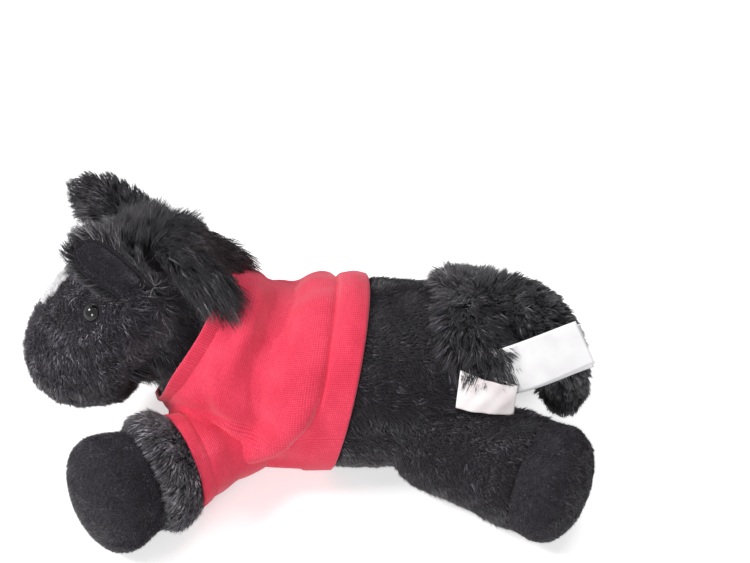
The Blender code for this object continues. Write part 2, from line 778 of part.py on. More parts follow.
def ear_sheet(name, frame, start, inset, thickness, lift):
    """A cupped leaf in the ear's own frame: Z is its length, X its width, Y its hollow side."""
    roundness, root, growth = EAR_OUTLINE_SHARES
    build = bmesh.new()
    rows = []
    for row in range(EAR_ROWS + 1):
        share = row / EAR_ROWS
        along = mix(start, EAR_LENGTH - inset, share)
        true_share = along / EAR_LENGTH
        narrowing = math.sqrt(max(0.0, 1 - true_share ** roundness))
        half = EAR_HALF_WIDTH * narrowing * (root + growth * true_share)
        half = max(half - inset, EAR_THICKNESS)
        points = []
        for column in range(EAR_COLUMNS + 1):
            across = 2 * column / EAR_COLUMNS - 1
            cup = EAR_CUP * ((across * half / EAR_HALF_WIDTH) ** 2 + EAR_CURL_SHARE * true_share ** 2)
            points.append(build.verts.new((across * half, cup + lift, along)))
        rows.append(points)
    for row, beyond in zip(rows, rows[1:]):
        for column in range(EAR_COLUMNS):
            build.faces.new((row[column], row[column + 1], beyond[column + 1], beyond[column]))
    mesh = bpy.data.meshes.new(name)
    build.to_mesh(mesh)
    build.free()
    made = add_object(name, mesh, PARTS)
    made.matrix_world = frame
    cloth = made.modifiers.new("cloth", "SOLIDIFY")
    cloth.thickness = thickness
    cloth.offset = 0.0
    return made


def ear_frame(side, skin):
    """Place of an ear's root, with the directions of its root line, hollow and length."""
    mirror = Matrix.Diagonal((side, 1, 1))
    place, normal = surface_hit(skin, head_place(*EAR_CENTRE_SHARE), mirror @ Vector(EAR_AIM_SHARE))
    along_root = mirror @ Vector(EAR_ROOT_SHARE)
    along_root = (along_root - normal * along_root.dot(normal)).normalized()
    length = mirror @ Vector(EAR_TIP_SHARE)
    length = (length - along_root * length.dot(along_root)).normalized()
    hollow = length.cross(along_root)
    if hollow.x * side < 0:
        hollow = -hollow
    frame = Matrix((hollow.cross(length), hollow, length)).transposed().to_4x4()
    frame.translation = place
    return frame


def make_ears(head_axis, cover, filling, skin):
    for side, side_name in ((1, "left"), (-1, "right")):
        frame = ear_frame(side, skin)
        pivot = frame.translation.copy()
        hinge = frame.col[0].to_3d()
        axis = joint_empty(f"ear_{side_name}_axis", pivot, head_axis)
        ear = ear_sheet(f"ear_{side_name}", frame, 0.0, 0.0, EAR_THICKNESS, 0.0)
        root = bar(f"ear_root_{side_name}", EAR_ROOT_RADIUS, EAR_ROOT_LENGTH, pivot, hinge)
        boolean(ear, root, "UNION")
        room = EAR_ROOT_RADIUS + GAP * 2
        groove = bar(f"ear_groove_{side_name}", room, EAR_ROOT_LENGTH + GAP * 8, pivot, hinge)
        cut(cover, groove)
        cut(filling, groove)
        as_part(ear, BLACK_PLUSH, axis)
        slope = math.atan(EAR_OUTLINE_SHARES[0] * EAR_CUP / EAR_HALF_WIDTH)
        lift = ((EAR_THICKNESS + EAR_LINING) / 2 + GAP) / math.cos(slope)
        start = EAR_ROOT_RADIUS + GAP * 4
        lining = ear_sheet(f"ear_lining_{side_name}", frame, start, EAR_ROOT_RADIUS, EAR_LINING, lift)
        as_part(lining, CHARCOAL_PLUSH, axis)


def bar(name, radius, length, place, direction):
    profile = rod_profile(radius, length / 2, -length / 2)
    return as_cutter(turned(name, profile, SMALL_SEGMENTS, place, direction))


def make_mane(neck_axis):
    """Crest of long pile, clear of the shirt below it and of the nodding head."""
    base = NECK_PIVOT.copy()
    rings = []
    for back, rise, width, height in MANE_SHARES:
        centre = Vector((0, HEAD_PIVOT.y + back * MANE_LENGTH, base.z + rise * MANE_RISE))
        half_width = width * MANE_HALF_WIDTH
        half_height = height * MANE_HALF_HEIGHT
        rings.append(ring(centre, SIDEWAYS, UPWARDS, half_width, half_height, SMALL_SEGMENTS))
    poles = []
    for back, rise in MANE_POLES_SHARE:
        poles.append(Vector((0, HEAD_PIVOT.y + back * MANE_LENGTH, base.z + rise * MANE_RISE)))
    mane = loft("mane", rings, *poles)
    room = neck_profile(NECK_RADIUS + GAP * 2, 0.0)
    neck_space = turned("neck_space", room, HEAD_SEGMENTS, NECK_PIVOT, NECK_FORWARD)
    cut(mane, as_cutter(neck_space))
    for degrees in (0, HEAD_NOD_UP / 2, HEAD_NOD_UP):
        head = head_loft(f"head_space_{degrees:.0f}")
        moved_out(head, GAP * 2)
        turn = Matrix.Rotation(-math.radians(degrees), 4, "X")
        head.data.transform(Matrix.Translation(HEAD_PIVOT) @ turn @ Matrix.Translation(-HEAD_PIVOT))
        cut(mane, as_cutter(head))
    forward, up = lean(COLLAR_LEAN)
    collar_top = torso_place(*COLLAR_PLACE_SHARE) + forward * COLLAR_WIDTH + up * (COLLAR_RADIUS + RIBBING)
    clear = collar_top.z + COLLAR_FLARE + GAP * 3
    reach = HEAD_PIVOT.y + NECK_RADIUS * MANE_BACK_SHARE
    cut(mane, box("shirt_space", (-OVERRUN, reach, -OVERRUN), (OVERRUN, OVERRUN, clear)))
    as_part(mane, LONG_PILE, neck_axis)


def make_forelock(head_axis, skin):
    rings = []
    crown = head_place(*FORELOCK_CROWN_SHARE)
    for ahead, rise, width, height in FORELOCK_SHARES:
        centre = crown + Vector((0, -ahead * FORELOCK_LENGTH, rise * FORELOCK_LENGTH))
        half_width = width * FORELOCK_HALF_WIDTH
        half_height = height * FORELOCK_HALF_HEIGHT
        rings.append(ring(centre, SIDEWAYS, UPWARDS, half_width, half_height, SMALL_SEGMENTS))
    ahead, rise = FORELOCK_POLE_SHARE
    end = crown + Vector((0, -ahead * FORELOCK_LENGTH, rise * FORELOCK_LENGTH))
    forelock = loft("forelock", rings, crown, end)
    space = head_loft("forelock_seat")
    moved_out(space, GAP)
    cut(forelock, as_cutter(space))
    as_part(forelock, LONG_PILE, head_axis)


def make_tail():
    """Long-haired tuft on a small ball; returns the socket that the torso needs."""
    root = torso_place(*TAIL_ROOT_SHARE)
    axis = joint_empty("tail_axis", root, ROOT)
    exit_angle = math.radians(TAIL_EXIT)
    backward = Vector((0, math.cos(exit_angle), math.sin(exit_angle)))
    upward = backward.cross(SIDEWAYS) * -1
    rings = []
    for degrees in (45, 90):
        angle = math.radians(degrees)
        girth = TAIL_BALL * math.sin(angle)
        centre = root - backward * (TAIL_BALL * math.cos(angle))
        rings.append(ring(centre, SIDEWAYS, upward, girth, girth, SMALL_SEGMENTS))
    for back, rise, width, height, tilt in TAIL_SHARES:
        centre = root + Vector((0, back * TAIL_LENGTH, rise * TAIL_LENGTH))
        _, up = lean(-tilt)
        half_width = width * TAIL_HALF_WIDTH
        half_height = height * TAIL_HALF_HEIGHT
        rings.append(ring(centre, SIDEWAYS, up, half_width, half_height, SMALL_SEGMENTS))
    back, rise = TAIL_POLE_SHARE
    end = root + Vector((0, back * TAIL_LENGTH, rise * TAIL_LENGTH))
    tail = loft("tail", rings, root - backward * TAIL_BALL, end)
    as_part(tail, LONG_PILE, axis)
    return socket("tail_socket", root, backward, TAIL_BALL, TAIL_WAG + TAIL_LEEWAY, 0.0)


def make_shirt(floor, openings):
    """Shirt body as a loose copy of the torso's skin, cut at the hem, armholes and collar."""
    rear = torso_place(*TORSO_REAR_POLE_SHARE)
    front = torso_place(*TORSO_FRONT_POLE_SHARE)
    shirt = loft("shirt_body", shirt_rings(), rear, front, open_end=True)
    raise_folds(shirt)
    moved_out(shirt, SHIRT_LOOSE)
    shell(shirt, JERSEY, inward=False)
    hem = torso_place(HEM_PLACE_SHARE, 0)
    low = (-OVERRUN, 0, -OVERRUN)
    high = (OVERRUN, OVERRUN, OVERRUN)
    cut(shirt, box("behind_hem", low, high, hem, math.radians(-HEM_LEAN)))
    collar_place = torso_place(*COLLAR_PLACE_SHARE)
    ahead = box("ahead_of_collar", (-OVERRUN, -OVERRUN, -OVERRUN), (OVERRUN, 0, OVERRUN),
                collar_place, -math.radians(COLLAR_LEAN))
    cut(shirt, ahead, *openings)
    cut(shirt, floor)
    as_part(shirt, RED_JERSEY, ROOT)
    base = GAP
    radius = COLLAR_RADIUS
    forward, _ = lean(COLLAR_LEAN)
    profile = [
        (radius + RIBBING + COLLAR_FLARE, base + COLLAR_WIDTH),
        (radius + RIBBING, base),
        (radius, base),
        (radius + COLLAR_FLARE, base + COLLAR_WIDTH),
        (radius + RIBBING + COLLAR_FLARE, base + COLLAR_WIDTH),
    ]
    collar = turned("shirt_collar", profile, BODY_SEGMENTS, collar_place, forward)
    as_part(collar, RED_JERSEY, ROOT)


def shirt_rings():
    """The torso's rings with finer steps, and one more ring in the middle of each gap."""
    rows = torso_rings(SHIRT_SEGMENTS)
    rings = []
    for row, beyond in zip(rows, rows[1:]):
        rings.append(row)
        rings.append([(point + next_point) / 2 for point, next_point in zip(row, beyond)])
    rings.append(rows[-1])
    return rings


def raise_folds(shirt):
    """Lifts ridges of cloth that run from the armpits to the hem and over the back."""
    for vertex in shirt.data.vertices:
        angle = math.atan2(vertex.co.z - TORSO_AXIS, vertex.co.x)
        if angle < -math.pi / 2:
            angle += 2 * math.pi
        here = unrolled((TORSO_REAR - vertex.co.y) / TORSO_LENGTH, angle)
        lift = 0.0
        for start, start_angle, end, end_angle, height_share in FOLD_SHARES:
            root = unrolled(start, math.radians(start_angle))
            run = unrolled(end, math.radians(end_angle)) - root
            share = max(0.0, min(1.0, (here - root).dot(run) / run.length_squared))
            away = (here - root - run * share).length / FOLD_HALF_WIDTH
            if away < 1:
                lift = max(lift, height_share * (1 + math.cos(math.pi * away)) / 2)
        vertex.co += Vector((math.cos(angle), 0, math.sin(angle))) * (FOLD_HEIGHT * lift)


def unrolled(along_share, angle):
    """A place on the torso as if its skin lay flat: along the body, and round it."""
    return Vector((along_share * TORSO_LENGTH, angle * TORSO_HALF_HEIGHT))


def make_label(name, label, skin):
    """A satin strip that leaves the hip seam backwards, its root against the hip."""
    start = torso_place(label["root_share"][0], 0)
    start.z = TORSO_AXIS + label["root_share"][1] * TORSO_HALF_HEIGHT
    rise = math.radians(label["rise"])
    along = Vector((0, math.cos(rise), math.sin(rise)))
    across = SIDEWAYS.cross(along)
    seat = 0.0
    for across_share in (-0.5, 0.0, 0.5):
        for along_share in (0.0, 0.25, 0.5):
            sideways = across * (across_share * label["width"])
            probe = start + sideways + along * (along_share * label["length"])
            place, _ = surface_hit(skin, probe, SIDEWAYS)
            if place is not None:
                seat = max(seat, place.x)
    build = bmesh.new()
    bmesh.ops.create_cube(build, size=1)
    size = (LABEL_CLOTH, label["width"], label["length"])
    bmesh.ops.transform(build, matrix=Matrix.Diagonal((*size, 1)), verts=build.verts)
    mesh = bpy.data.meshes.new(name)
    build.to_mesh(mesh)
    build.free()
    strip = add_object(name, mesh, PARTS)
    frame = Matrix((SIDEWAYS, across, along)).transposed().to_4x4()
    frame.translation = start + along * (label["length"] / 2)
    frame.translation.x = seat + GAP + LABEL_CLOTH / 2
    strip.matrix_world = frame
    as_part(strip, LABEL_SATIN, ROOT)


def centre_on_origin():
    """Moves everything so that the footprint's middle lies at X = Y = 0."""
    bpy.context.view_layer.update()
    graph = bpy.context.evaluated_depsgraph_get()
    low = math.inf
    high = -math.inf
    for piece in PARTS.objects:
        if piece.type != "MESH":
            continue
        solid = piece.evaluated_get(graph)
        mesh = solid.to_mesh()
        for vertex in mesh.vertices:
            y = (piece.matrix_world @ vertex.co).y
            low = min(low, y)
            high = max(high, y)
        solid.to_mesh_clear()
    ROOT.location.y = -(low + high) / 2
    print("length", round((high - low) / MM, 1), "mm; moved by", round(ROOT.location.y / MM, 3), "mm")


def main():
    floor = make_floor_cutter()
    sockets, armholes = make_legs(floor)
    sockets.append(make_tail())
    neck_seat = socket("neck_socket", NECK_PIVOT, NECK_FORWARD, NECK_RADIUS, NECK_TURN, 0.0)
    sockets.append(neck_seat)
    make_torso(floor, sockets)
    make_shirt(floor, armholes + [neck_seat])
    neck_axis = joint_empty("neck_axis", NECK_PIVOT, ROOT)
    make_neck(neck_axis)
    head_axis = joint_empty("head_axis", HEAD_PIVOT, neck_axis)
    skin = as_cutter(head_loft("head_form"))
    cover, filling = make_head(head_axis)
    make_eyes(head_axis, cover, filling, skin)
    make_ears(head_axis, cover, filling, skin)
    make_mane(neck_axis)
    make_forelock(head_axis, skin)
    body = as_cutter(torso_loft("torso_form"))
    make_label("care_label", CARE_LABEL, body)
    make_label("side_label", SIDE_LABEL, body)
    centre_on_origin()


main()
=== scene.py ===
# Plush horse lying on its belly in a red jersey shirt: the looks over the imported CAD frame.
# All sizes in the dictionaries are millimetres, in the frame's own axes (head towards -Y).
import math
import bpy
import numpy as np
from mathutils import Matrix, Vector
from mathutils.kdtree import KDTree


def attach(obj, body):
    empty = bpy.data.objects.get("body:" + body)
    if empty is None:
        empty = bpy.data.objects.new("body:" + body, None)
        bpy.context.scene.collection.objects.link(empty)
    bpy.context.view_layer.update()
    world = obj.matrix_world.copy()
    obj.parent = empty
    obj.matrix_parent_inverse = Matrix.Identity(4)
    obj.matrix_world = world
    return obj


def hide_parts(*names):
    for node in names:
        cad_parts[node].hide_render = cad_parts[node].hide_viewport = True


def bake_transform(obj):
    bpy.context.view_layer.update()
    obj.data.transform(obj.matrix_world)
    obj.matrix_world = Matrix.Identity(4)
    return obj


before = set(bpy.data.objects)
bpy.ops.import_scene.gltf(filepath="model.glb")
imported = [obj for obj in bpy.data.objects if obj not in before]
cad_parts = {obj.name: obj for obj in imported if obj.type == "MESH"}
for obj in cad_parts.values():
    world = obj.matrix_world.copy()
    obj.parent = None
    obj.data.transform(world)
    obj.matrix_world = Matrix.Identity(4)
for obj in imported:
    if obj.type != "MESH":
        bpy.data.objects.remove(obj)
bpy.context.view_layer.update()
scene = bpy.context.scene
mm = 0.001
sideways = np.array((1.0, 0.0, 0.0))
upwards = np.array((0.0, 0.0, 1.0))


def hexColour(text):
    # sRGB hex to the linear colour that a socket holds
    parts = [int(text[i:i + 2], 16) / 255 for i in (1, 3, 5)]
    linear = [p / 12.92 if p <= 0.04045 else ((p + 0.055) / 1.055) ** 2.4 for p in parts]
    return (*linear, 1.0)


def addNode(tree, kind, settings=None, links=None):
    # lower case settings are the node's own, the others are input sockets
    node = tree.nodes.new(kind)
    for key, value in (settings or {}).items():
        if isinstance(key, str) and key[0].islower():
            setattr(node, key, value)
        else:
            node.inputs[key].default_value = value
    for key, source in (links or {}).items():
        tree.links.new(source, node.inputs[key])
    return node


def mathNode(tree, operation, *inputs):
    # each input is a number or another node's output
    node = addNode(tree, "ShaderNodeMath", {"operation": operation})
    for socket, value in zip(node.inputs, inputs):
        if isinstance(value, (int, float)):
            socket.default_value = value
        else:
            tree.links.new(value, socket)
    return node.outputs[0]


def setSockets(node, values):
    for name, value in values.items():
        node.inputs[name].default_value = value


def newMaterial(name):
    material = bpy.data.materials.new(name)
    material.use_nodes = True
    tree = material.node_tree
    return material, tree, tree.nodes["Principled BSDF"]


def linkPiece(name, data):
    piece = bpy.data.objects.new(name, data)
    scene.collection.objects.link(piece)
    return piece


def colourRamp(tree, factor, stops):
    node = addNode(tree, "ShaderNodeValToRGB", links={"Fac": factor})
    ramp = node.color_ramp
    while len(ramp.elements) > 1:
        ramp.elements.remove(ramp.elements[-1])
    ramp.elements[0].position, ramp.elements[0].color = stops[0][0], hexColour(stops[0][1])
    for place, colour in stops[1:]:
        ramp.elements.new(place).color = hexColour(colour)
    return node.outputs["Color"]


def grainNode(tree, scale, detail, rough=0.5):
    # noise on the object's own coordinates
    place = addNode(tree, "ShaderNodeTexCoord")
    sockets = {"Scale": scale, "Detail": detail, "Roughness": rough}
    return addNode(tree, "ShaderNodeTexNoise", sockets, {"Vector": place.outputs["Object"]}).outputs["Fac"]


def paint(tree, surface, colour, height=None, strength=0.0, depth=0.0):
    # colour and bump into the surface
    tree.links.new(colour, surface.inputs["Base Color"])
    if height is not None:
        bump = addNode(tree, "ShaderNodeBump", {"Strength": strength, "Distance": depth}, {"Height": height})
        tree.links.new(bump.outputs["Normal"], surface.inputs["Normal"])


def readPoints(mesh):
    flat = np.empty(len(mesh.vertices) * 3)
    mesh.vertices.foreach_get("co", flat)
    return flat.reshape(-1, 3)


def writePoints(mesh, points):
    mesh.vertices.foreach_set("co", np.ascontiguousarray(points, dtype=np.float32).ravel())
    mesh.update()


def readNormals(mesh):
    flat = np.empty(len(mesh.vertices) * 3)
    mesh.vertices.foreach_get("normal", flat)
    return flat.reshape(-1, 3)


def takeUp(piece):
    bpy.ops.object.select_all(action="DESELECT")
    piece.select_set(True)
    bpy.context.view_layer.objects.active = piece


def applyModifier(piece, kind, **settings):
    takeUp(piece)
    modifier = piece.modifiers.new(kind.lower(), kind)
    for key, value in settings.items():
        setattr(modifier, key, value)
    bpy.ops.object.modifier_apply(modifier=modifier.name)


def tidyFaces(piece, merge=0.0):
    takeUp(piece)
    bpy.ops.object.mode_set(mode="EDIT")
    bpy.ops.mesh.select_all(action="SELECT")
    if merge:
        bpy.ops.mesh.remove_doubles(threshold=merge)
    bpy.ops.mesh.normals_make_consistent(inside=False)
    bpy.ops.object.mode_set(mode="OBJECT")
    bpy.ops.object.shade_smooth()


def startPiece(name, make, **settings):
    # a new primitive and its points, which are then moved into the shape
    bpy.ops.object.select_all(action="DESELECT")
    make(**settings)
    piece = bpy.context.object
    piece.name = name
    return piece, readPoints(piece.data)


def dropPoints(piece, chosen):
    # delete the chosen points with their faces
    takeUp(piece)
    bpy.ops.object.mode_set(mode="EDIT")
    bpy.ops.mesh.select_mode(type="VERT")
    bpy.ops.mesh.select_all(action="DESELECT")
    bpy.ops.object.mode_set(mode="OBJECT")
    piece.data.vertices.foreach_set("select", chosen)
    bpy.ops.object.mode_set(mode="EDIT")
    bpy.ops.mesh.delete(type="VERT")
    bpy.ops.object.mode_set(mode="OBJECT")


def dress(piece, material):
    piece.data.materials.clear()
    piece.data.materials.append(material)


def unit(vectors):
    length = np.linalg.norm(vectors, axis=-1, keepdims=True)
    return vectors / np.maximum(length, 1e-9)


def softNoise(points, size, seed):
    # a few crossed waves about size long, from about -1 to 1
    rng = np.random.default_rng(seed)
    total = np.zeros(points.shape[:-1])
    for _ in range(6):
        way = unit(rng.normal(size=3)) / (size * rng.uniform(0.6, 1.5))
        total += np.sin(points @ way * 2 * math.pi + rng.uniform(0, 6.28))
    return total / 3


def smoothStep(low, high, value):
    t = np.clip((value - low) / (high - low), 0, 1)
    return t * t * (3 - 2 * t)


def alongTable(marks, values, at):
    # smooth curve through a table's rows
    values = np.asarray(values, float).reshape(len(marks), -1)
    slopes = np.gradient(values, marks, axis=0)
    row = np.clip(np.searchsorted(marks, at, side="right") - 1, 0, len(marks) - 2)
    step = (marks[row + 1] - marks[row])[:, None]
    t = (at[:, None] - marks[row][:, None]) / step
    first = (1 + 2 * t) * (1 - t) ** 2 * values[row] + t * (1 - t) ** 2 * slopes[row] * step
    return first + t * t * (3 - 2 * t) * values[row + 1] + t * t * (t - 1) * slopes[row + 1] * step


def laidOut(origin, *steps):
    # points from an origin and pairs of (distances, direction)
    points = np.array(origin, float)
    for distance, way in steps:
        points = points + distance[:, None] * way
    return points


def makeForm(rows, startPole, endPole, across=sideways):
    # rows are (centre, up, half width, half height); the poles close both ends
    centres = np.array([startPole] + [row[0] for row in rows] + [endPole], float)
    ups = np.array([rows[0][1]] + [row[1] for row in rows] + [rows[-1][1]], float)
    wide = np.array([0.0] + [row[2] for row in rows] + [0.0])
    high = np.array([0.0] + [row[3] for row in rows] + [0.0])
    moved = np.linalg.norm(np.diff(centres, axis=0), axis=1)
    marks = np.concatenate(([0.0], np.cumsum(np.hypot(moved, np.diff((wide + high) / 2)) + 1e-4)))
    return {"marks": marks, "centres": centres, "ups": ups, "wide": wide, "high": high, "across": across}


def capRows(centre, way, up, radius, angles):
    # rows of a round end, from its pole on
    return [(centre - way * radius * math.cos(turn), up, radius * math.sin(turn), radius * math.sin(turn))
            for turn in map(math.radians, angles)]


def ringForm(part):
    # rings are (along, rise, half width, half height, lean), shares of the part's own sizes
    def place(along, rise):
        (y, z), (stepY, stepZ) = part["origin"], part["steps"]
        return np.array((0, y + along * stepY, z + rise * stepZ))

    rows = [(place(along, rise), lean(tilt)[1], wide * part["halfWidth"], high * part["halfHeight"])
            for along, rise, wide, high, tilt in part["rings"]]
    return makeForm(rows, *(place(*pole) for pole in part["poles"]))


def surfaceAt(form, share, turn):
    # a point of the form: share runs from pole to pole, turn goes round it
    at = np.clip(share, 0, 1) * form["marks"][-1]
    centre = alongTable(form["marks"], form["centres"], at)
    up = unit(alongTable(form["marks"], form["ups"], at))
    wide = np.maximum(alongTable(form["marks"], form["wide"], at)[:, 0], 0)
    high = np.maximum(alongTable(form["marks"], form["high"], at)[:, 0], 0)
    rise = np.sin(turn)
    rise = np.where(rise < 0, -np.abs(rise) ** form.get("belly", 1.0), rise)
    points = laidOut(centre, (wide * np.cos(turn), form["across"]), (high * rise, up))
    lowest = form.get("floor")
    if lowest is not None:
        # pressed flat without an edge
        depth = points[:, 2] - lowest
        points[:, 2] = lowest + np.where(depth > 2, depth, 2 * np.exp(np.minimum(depth - 2, 0) / 2))
    return points


def ballForm(name, form, segments, rows):
    # a sphere whose rings are moved onto the form
    piece, ball = startPiece(name, bpy.ops.mesh.primitive_uv_sphere_add, segments=segments, ring_count=rows, radius=1)
    share = np.arccos(np.clip(ball[:, 2], -1, 1)) / math.pi
    writePoints(piece.data, surfaceAt(form, share, np.arctan2(ball[:, 1], ball[:, 0])) * mm)
    tidyFaces(piece)
    return piece


def lean(degrees):
    # forwards and upwards after the animal's own upright is tipped
    angle = math.radians(degrees)
    return np.array((0, -math.cos(angle), math.sin(angle))), np.array((0, math.sin(angle), math.cos(angle)))


def settle(piece, body, material, nodes=()):
    dress(piece, material)
    if body:
        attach(piece, body)
    if nodes:
        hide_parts(*nodes)


def pileMaterial(name, stops, tips, rough=0.6, sheen=0.25):
    # each strand takes its own tone from the ramp; the tips are mixed towards a paler colour, a painted glint on the
    # polyester pile
    material, tree, surface = newMaterial(name)
    shade, reach = (addNode(tree, "ShaderNodeAttribute", {"attribute_name": label}).outputs["Fac"]
                    for label in ("shade", "reach"))
    part = mathNode(tree, "MULTIPLY", mathNode(tree, "POWER", reach, 2.0), tips[1])
    mix = addNode(tree, "ShaderNodeMix", {"data_type": "RGBA", 7: hexColour(tips[0])},
                  {"Factor": part, 6: colourRamp(tree, shade, stops)})
    paint(tree, surface, mix.outputs[2])
    setSockets(surface, {"Roughness": rough, "Sheen Weight": sheen, "Sheen Roughness": 0.4, "Specular IOR Level": 0.35})
    return material


def jerseyMaterial(name, colours, wale, course, grooveShade):
    # single jersey knit: wales are rows of small V stitches, with the pitches in mm on the UV map
    material, tree, surface = newMaterial(name)
    chart = addNode(tree, "ShaderNodeUVMap", {"uv_map": "cloth"})
    axes = addNode(tree, "ShaderNodeSeparateXYZ", links={0: chart.outputs[0]})
    across = mathNode(tree, "MULTIPLY", axes.outputs[0], 100 / wale * 2 * math.pi)
    half = mathNode(tree, "ABSOLUTE", mathNode(tree, "SINE", across))
    tilt = mathNode(tree, "MULTIPLY", half, 1.6)
    down = mathNode(tree, "MULTIPLY_ADD", axes.outputs[1], 100 / course * 2 * math.pi, tilt)
    soft = mathNode(tree, "MULTIPLY", half, 0.5)
    stitch = mathNode(tree, "MULTIPLY_ADD", mathNode(tree, "SINE", down), 0.22, soft)
    # the fuzz of the cotton breaks up the rows
    height = mathNode(tree, "ADD", stitch, grainNode(tree, 700.0, 6.0, 0.7))
    # the colour follows the stitch height: painted shade in the grooves between stitches and painted highlights on the
    # stitch tops; the broad grain is the yarn's own tone
    spread = addNode(tree, "ShaderNodeMapRange", {"From Min": 0.25, "From Max": 1.25}, {"Value": height})
    patch = mathNode(tree, "MULTIPLY_ADD", grainNode(tree, 60.0, 3.0), 0.5, 0.03)
    shade = mathNode(tree, "MULTIPLY_ADD", spread.outputs[0], grooveShade, patch)
    paint(tree, surface, colourRamp(tree, shade, colours), height, 0.35, 0.0003)
    setSockets(surface, {"Roughness": 0.82, "Sheen Weight": 0.25, "Sheen Roughness": 0.5, "Specular IOR Level": 0.25})
    return material


def plainMaterial(name, dark, light, rough, scale, bumps, coat=0.0, shine=0.5, high=0.7, detail=4.0, depth=0.0003):
    # moulded or spun stuff with a slight mottle
    material, tree, surface = newMaterial(name)
    grain = grainNode(tree, scale, detail)
    paint(tree, surface, colourRamp(tree, grain, ((0.3, dark), (high, light))), grain, bumps, depth)
    setSockets(surface, {"Roughness": rough, "Coat Weight": coat, "Specular IOR Level": shine, "Coat Roughness": 0.03})
    return material


def backingMaterial(name, dark, light):
    # knitted backing that shows between the strands
    return plainMaterial(name, dark, light, 0.85, 900.0, 0.5, shine=0.2, high=0.75, detail=3.0, depth=0.0006)


def satinMaterial(name, dull, bright):
    # woven polyester satin tape: fine warp ribs along its length and a soft shine
    material, tree, surface = newMaterial(name)
    chart = addNode(tree, "ShaderNodeUVMap", {"uv_map": "cloth"})
    wave = addNode(tree, "ShaderNodeTexWave", {"Scale": 70.0, "Distortion": 0.6, "Detail": 1.0}, {"Vector": chart.outputs[0]})
    colour = colourRamp(tree, grainNode(tree, 90.0, 2.0), ((0.3, dull), (0.7, bright)))
    paint(tree, surface, colour, wave.outputs["Fac"], 0.15, 0.0002)
    setSockets(surface, {"Roughness": 0.38, "Sheen Weight": 0.15})
    return material


# black plush; the palest strands at the top of the ramp are painted glints
blackStops = ((0.0, "#19161B"), (0.6, "#262229"), (0.9, "#332E37"), (0.975, "#4A454F"), (1.0, "#807A85"))
blackPile = pileMaterial("blackPolyesterPlush", blackStops, ("#4A454F", 0.35))
# the body's black plush drawn paler, with more pale strands: painted glints where the face catches the light
faceStops = ((0.0, "#201C22"), (0.5, "#302B33"), (0.85, "#4A444E"), (0.96, "#7B7480"), (1.0, "#BDB6C0"))
facePile = pileMaterial("blackPlushOfTheFaceWithPaintedGlints", faceStops, ("#5A5460", 0.4))
# black cuff pile with sparse silver strands, drawn paler than that as a painted sheen where the cuffs face the light
cuffStops = ((0.0, "#19161B"), (0.45, "#2A272D"), (0.75, "#4C4850"), (0.92, "#928C95"), (1.0, "#D6D1D8"))
cuffPile = pileMaterial("silverStrandsAndPaintedSheenCuffPile", cuffStops, ("#928C95", 0.36), 0.5)
# long pile with silver tips; its pale strands and tips are partly painted glints along the mane and tail
longStops = ((0.0, "#131115"), (0.6, "#1F1C22"), (0.88, "#2F2D33"), (0.97, "#5F5C64"), (1.0, "#969298"))
longPile = pileMaterial("longSilverTippedPileWithPaintedGlint", longStops, ("#66626B", 0.28), 0.55)
hoofStops = ((0.0, "#201D22"), (0.6, "#302C33"), (0.95, "#423D46"), (1.0, "#5E5963"))
hoofPile = pileMaterial("shornVelourNap", hoofStops, ("#4A454E", 0.3), 0.85, 0.12)
liningPile = pileMaterial("earVelourNap", hoofStops, ("#4A454E", 0.3), 0.85, 0.12)
whiteStops = ((0.0, "#D9D6DA"), (0.6, "#EFEDEF"), (1.0, "#FFFFFF"))
whitePile = pileMaterial("whitePolyesterPlush", whiteStops, ("#FFFFFF", 0.4))
blackBacking = backingMaterial("blackKnitBacking", "#151317", "#2A272D")
hoofBacking = backingMaterial("charcoalKnitBacking", "#242126", "#3A363D")
whiteBacking = backingMaterial("whiteKnitBacking", "#C9C6CA", "#EDEBEE")
# red jersey: the dark end is painted shade in the knit's grooves, the pale end painted highlight on the stitches
jerseyRed = ((0.0, "#A01830"), (0.4, "#D42C48"), (0.75, "#EA3F5C"), (1.0, "#FB6880"))
jersey = jerseyMaterial("redCottonJersey", jerseyRed, 1.9, 0.95, 0.58)
ribbing = jerseyMaterial("redCottonRibbing", jerseyRed, 2.6, 0.95, 0.62)
satin = satinMaterial("whitePolyesterSatin", "#F0EEF0", "#FBFAFB")
pinkSatin = satinMaterial("pinkishPolyesterSatin", "#FBEDEE", "#FFFBFB")
eyeBlack = plainMaterial("blackAcrylicEye", "#030203", "#070607", 0.05, 30.0, 0.0, 0.5, 0.15)
eyeRim = plainMaterial("smokedAcrylicRim", "#151214", "#221D20", 0.3, 60.0, 0.0, 0.1, 0.3)
washerWhite = plainMaterial("naturalPolypropyleneWasher", "#D8D6CF", "#E6E4DE", 0.45, 120.0, 0.1)
fibrefill = plainMaterial("whitePolyesterFibrefill", "#E2E0DC", "#F6F5F2", 0.95, 140.0, 0.6)
pelletCloth = plainMaterial("spunbondPelletBag", "#D5D6D8", "#ECEDEE", 0.8, 500.0, 0.5)


# what a pile has unless it says otherwise; density is strands for each square mm, lean is root and tip in degrees
usualPile = {"swirl": 14, "sway": 0.35, "stray": 0.25, "ruffle": 8, "sag": 0.0, "patch": 9, "dark": 1.0, "rooted": 0.4,
             "lengths": (0.65, 1.15), "widths": (0.7, 1.3), "taper": 0.6, "lowest": 0.1}


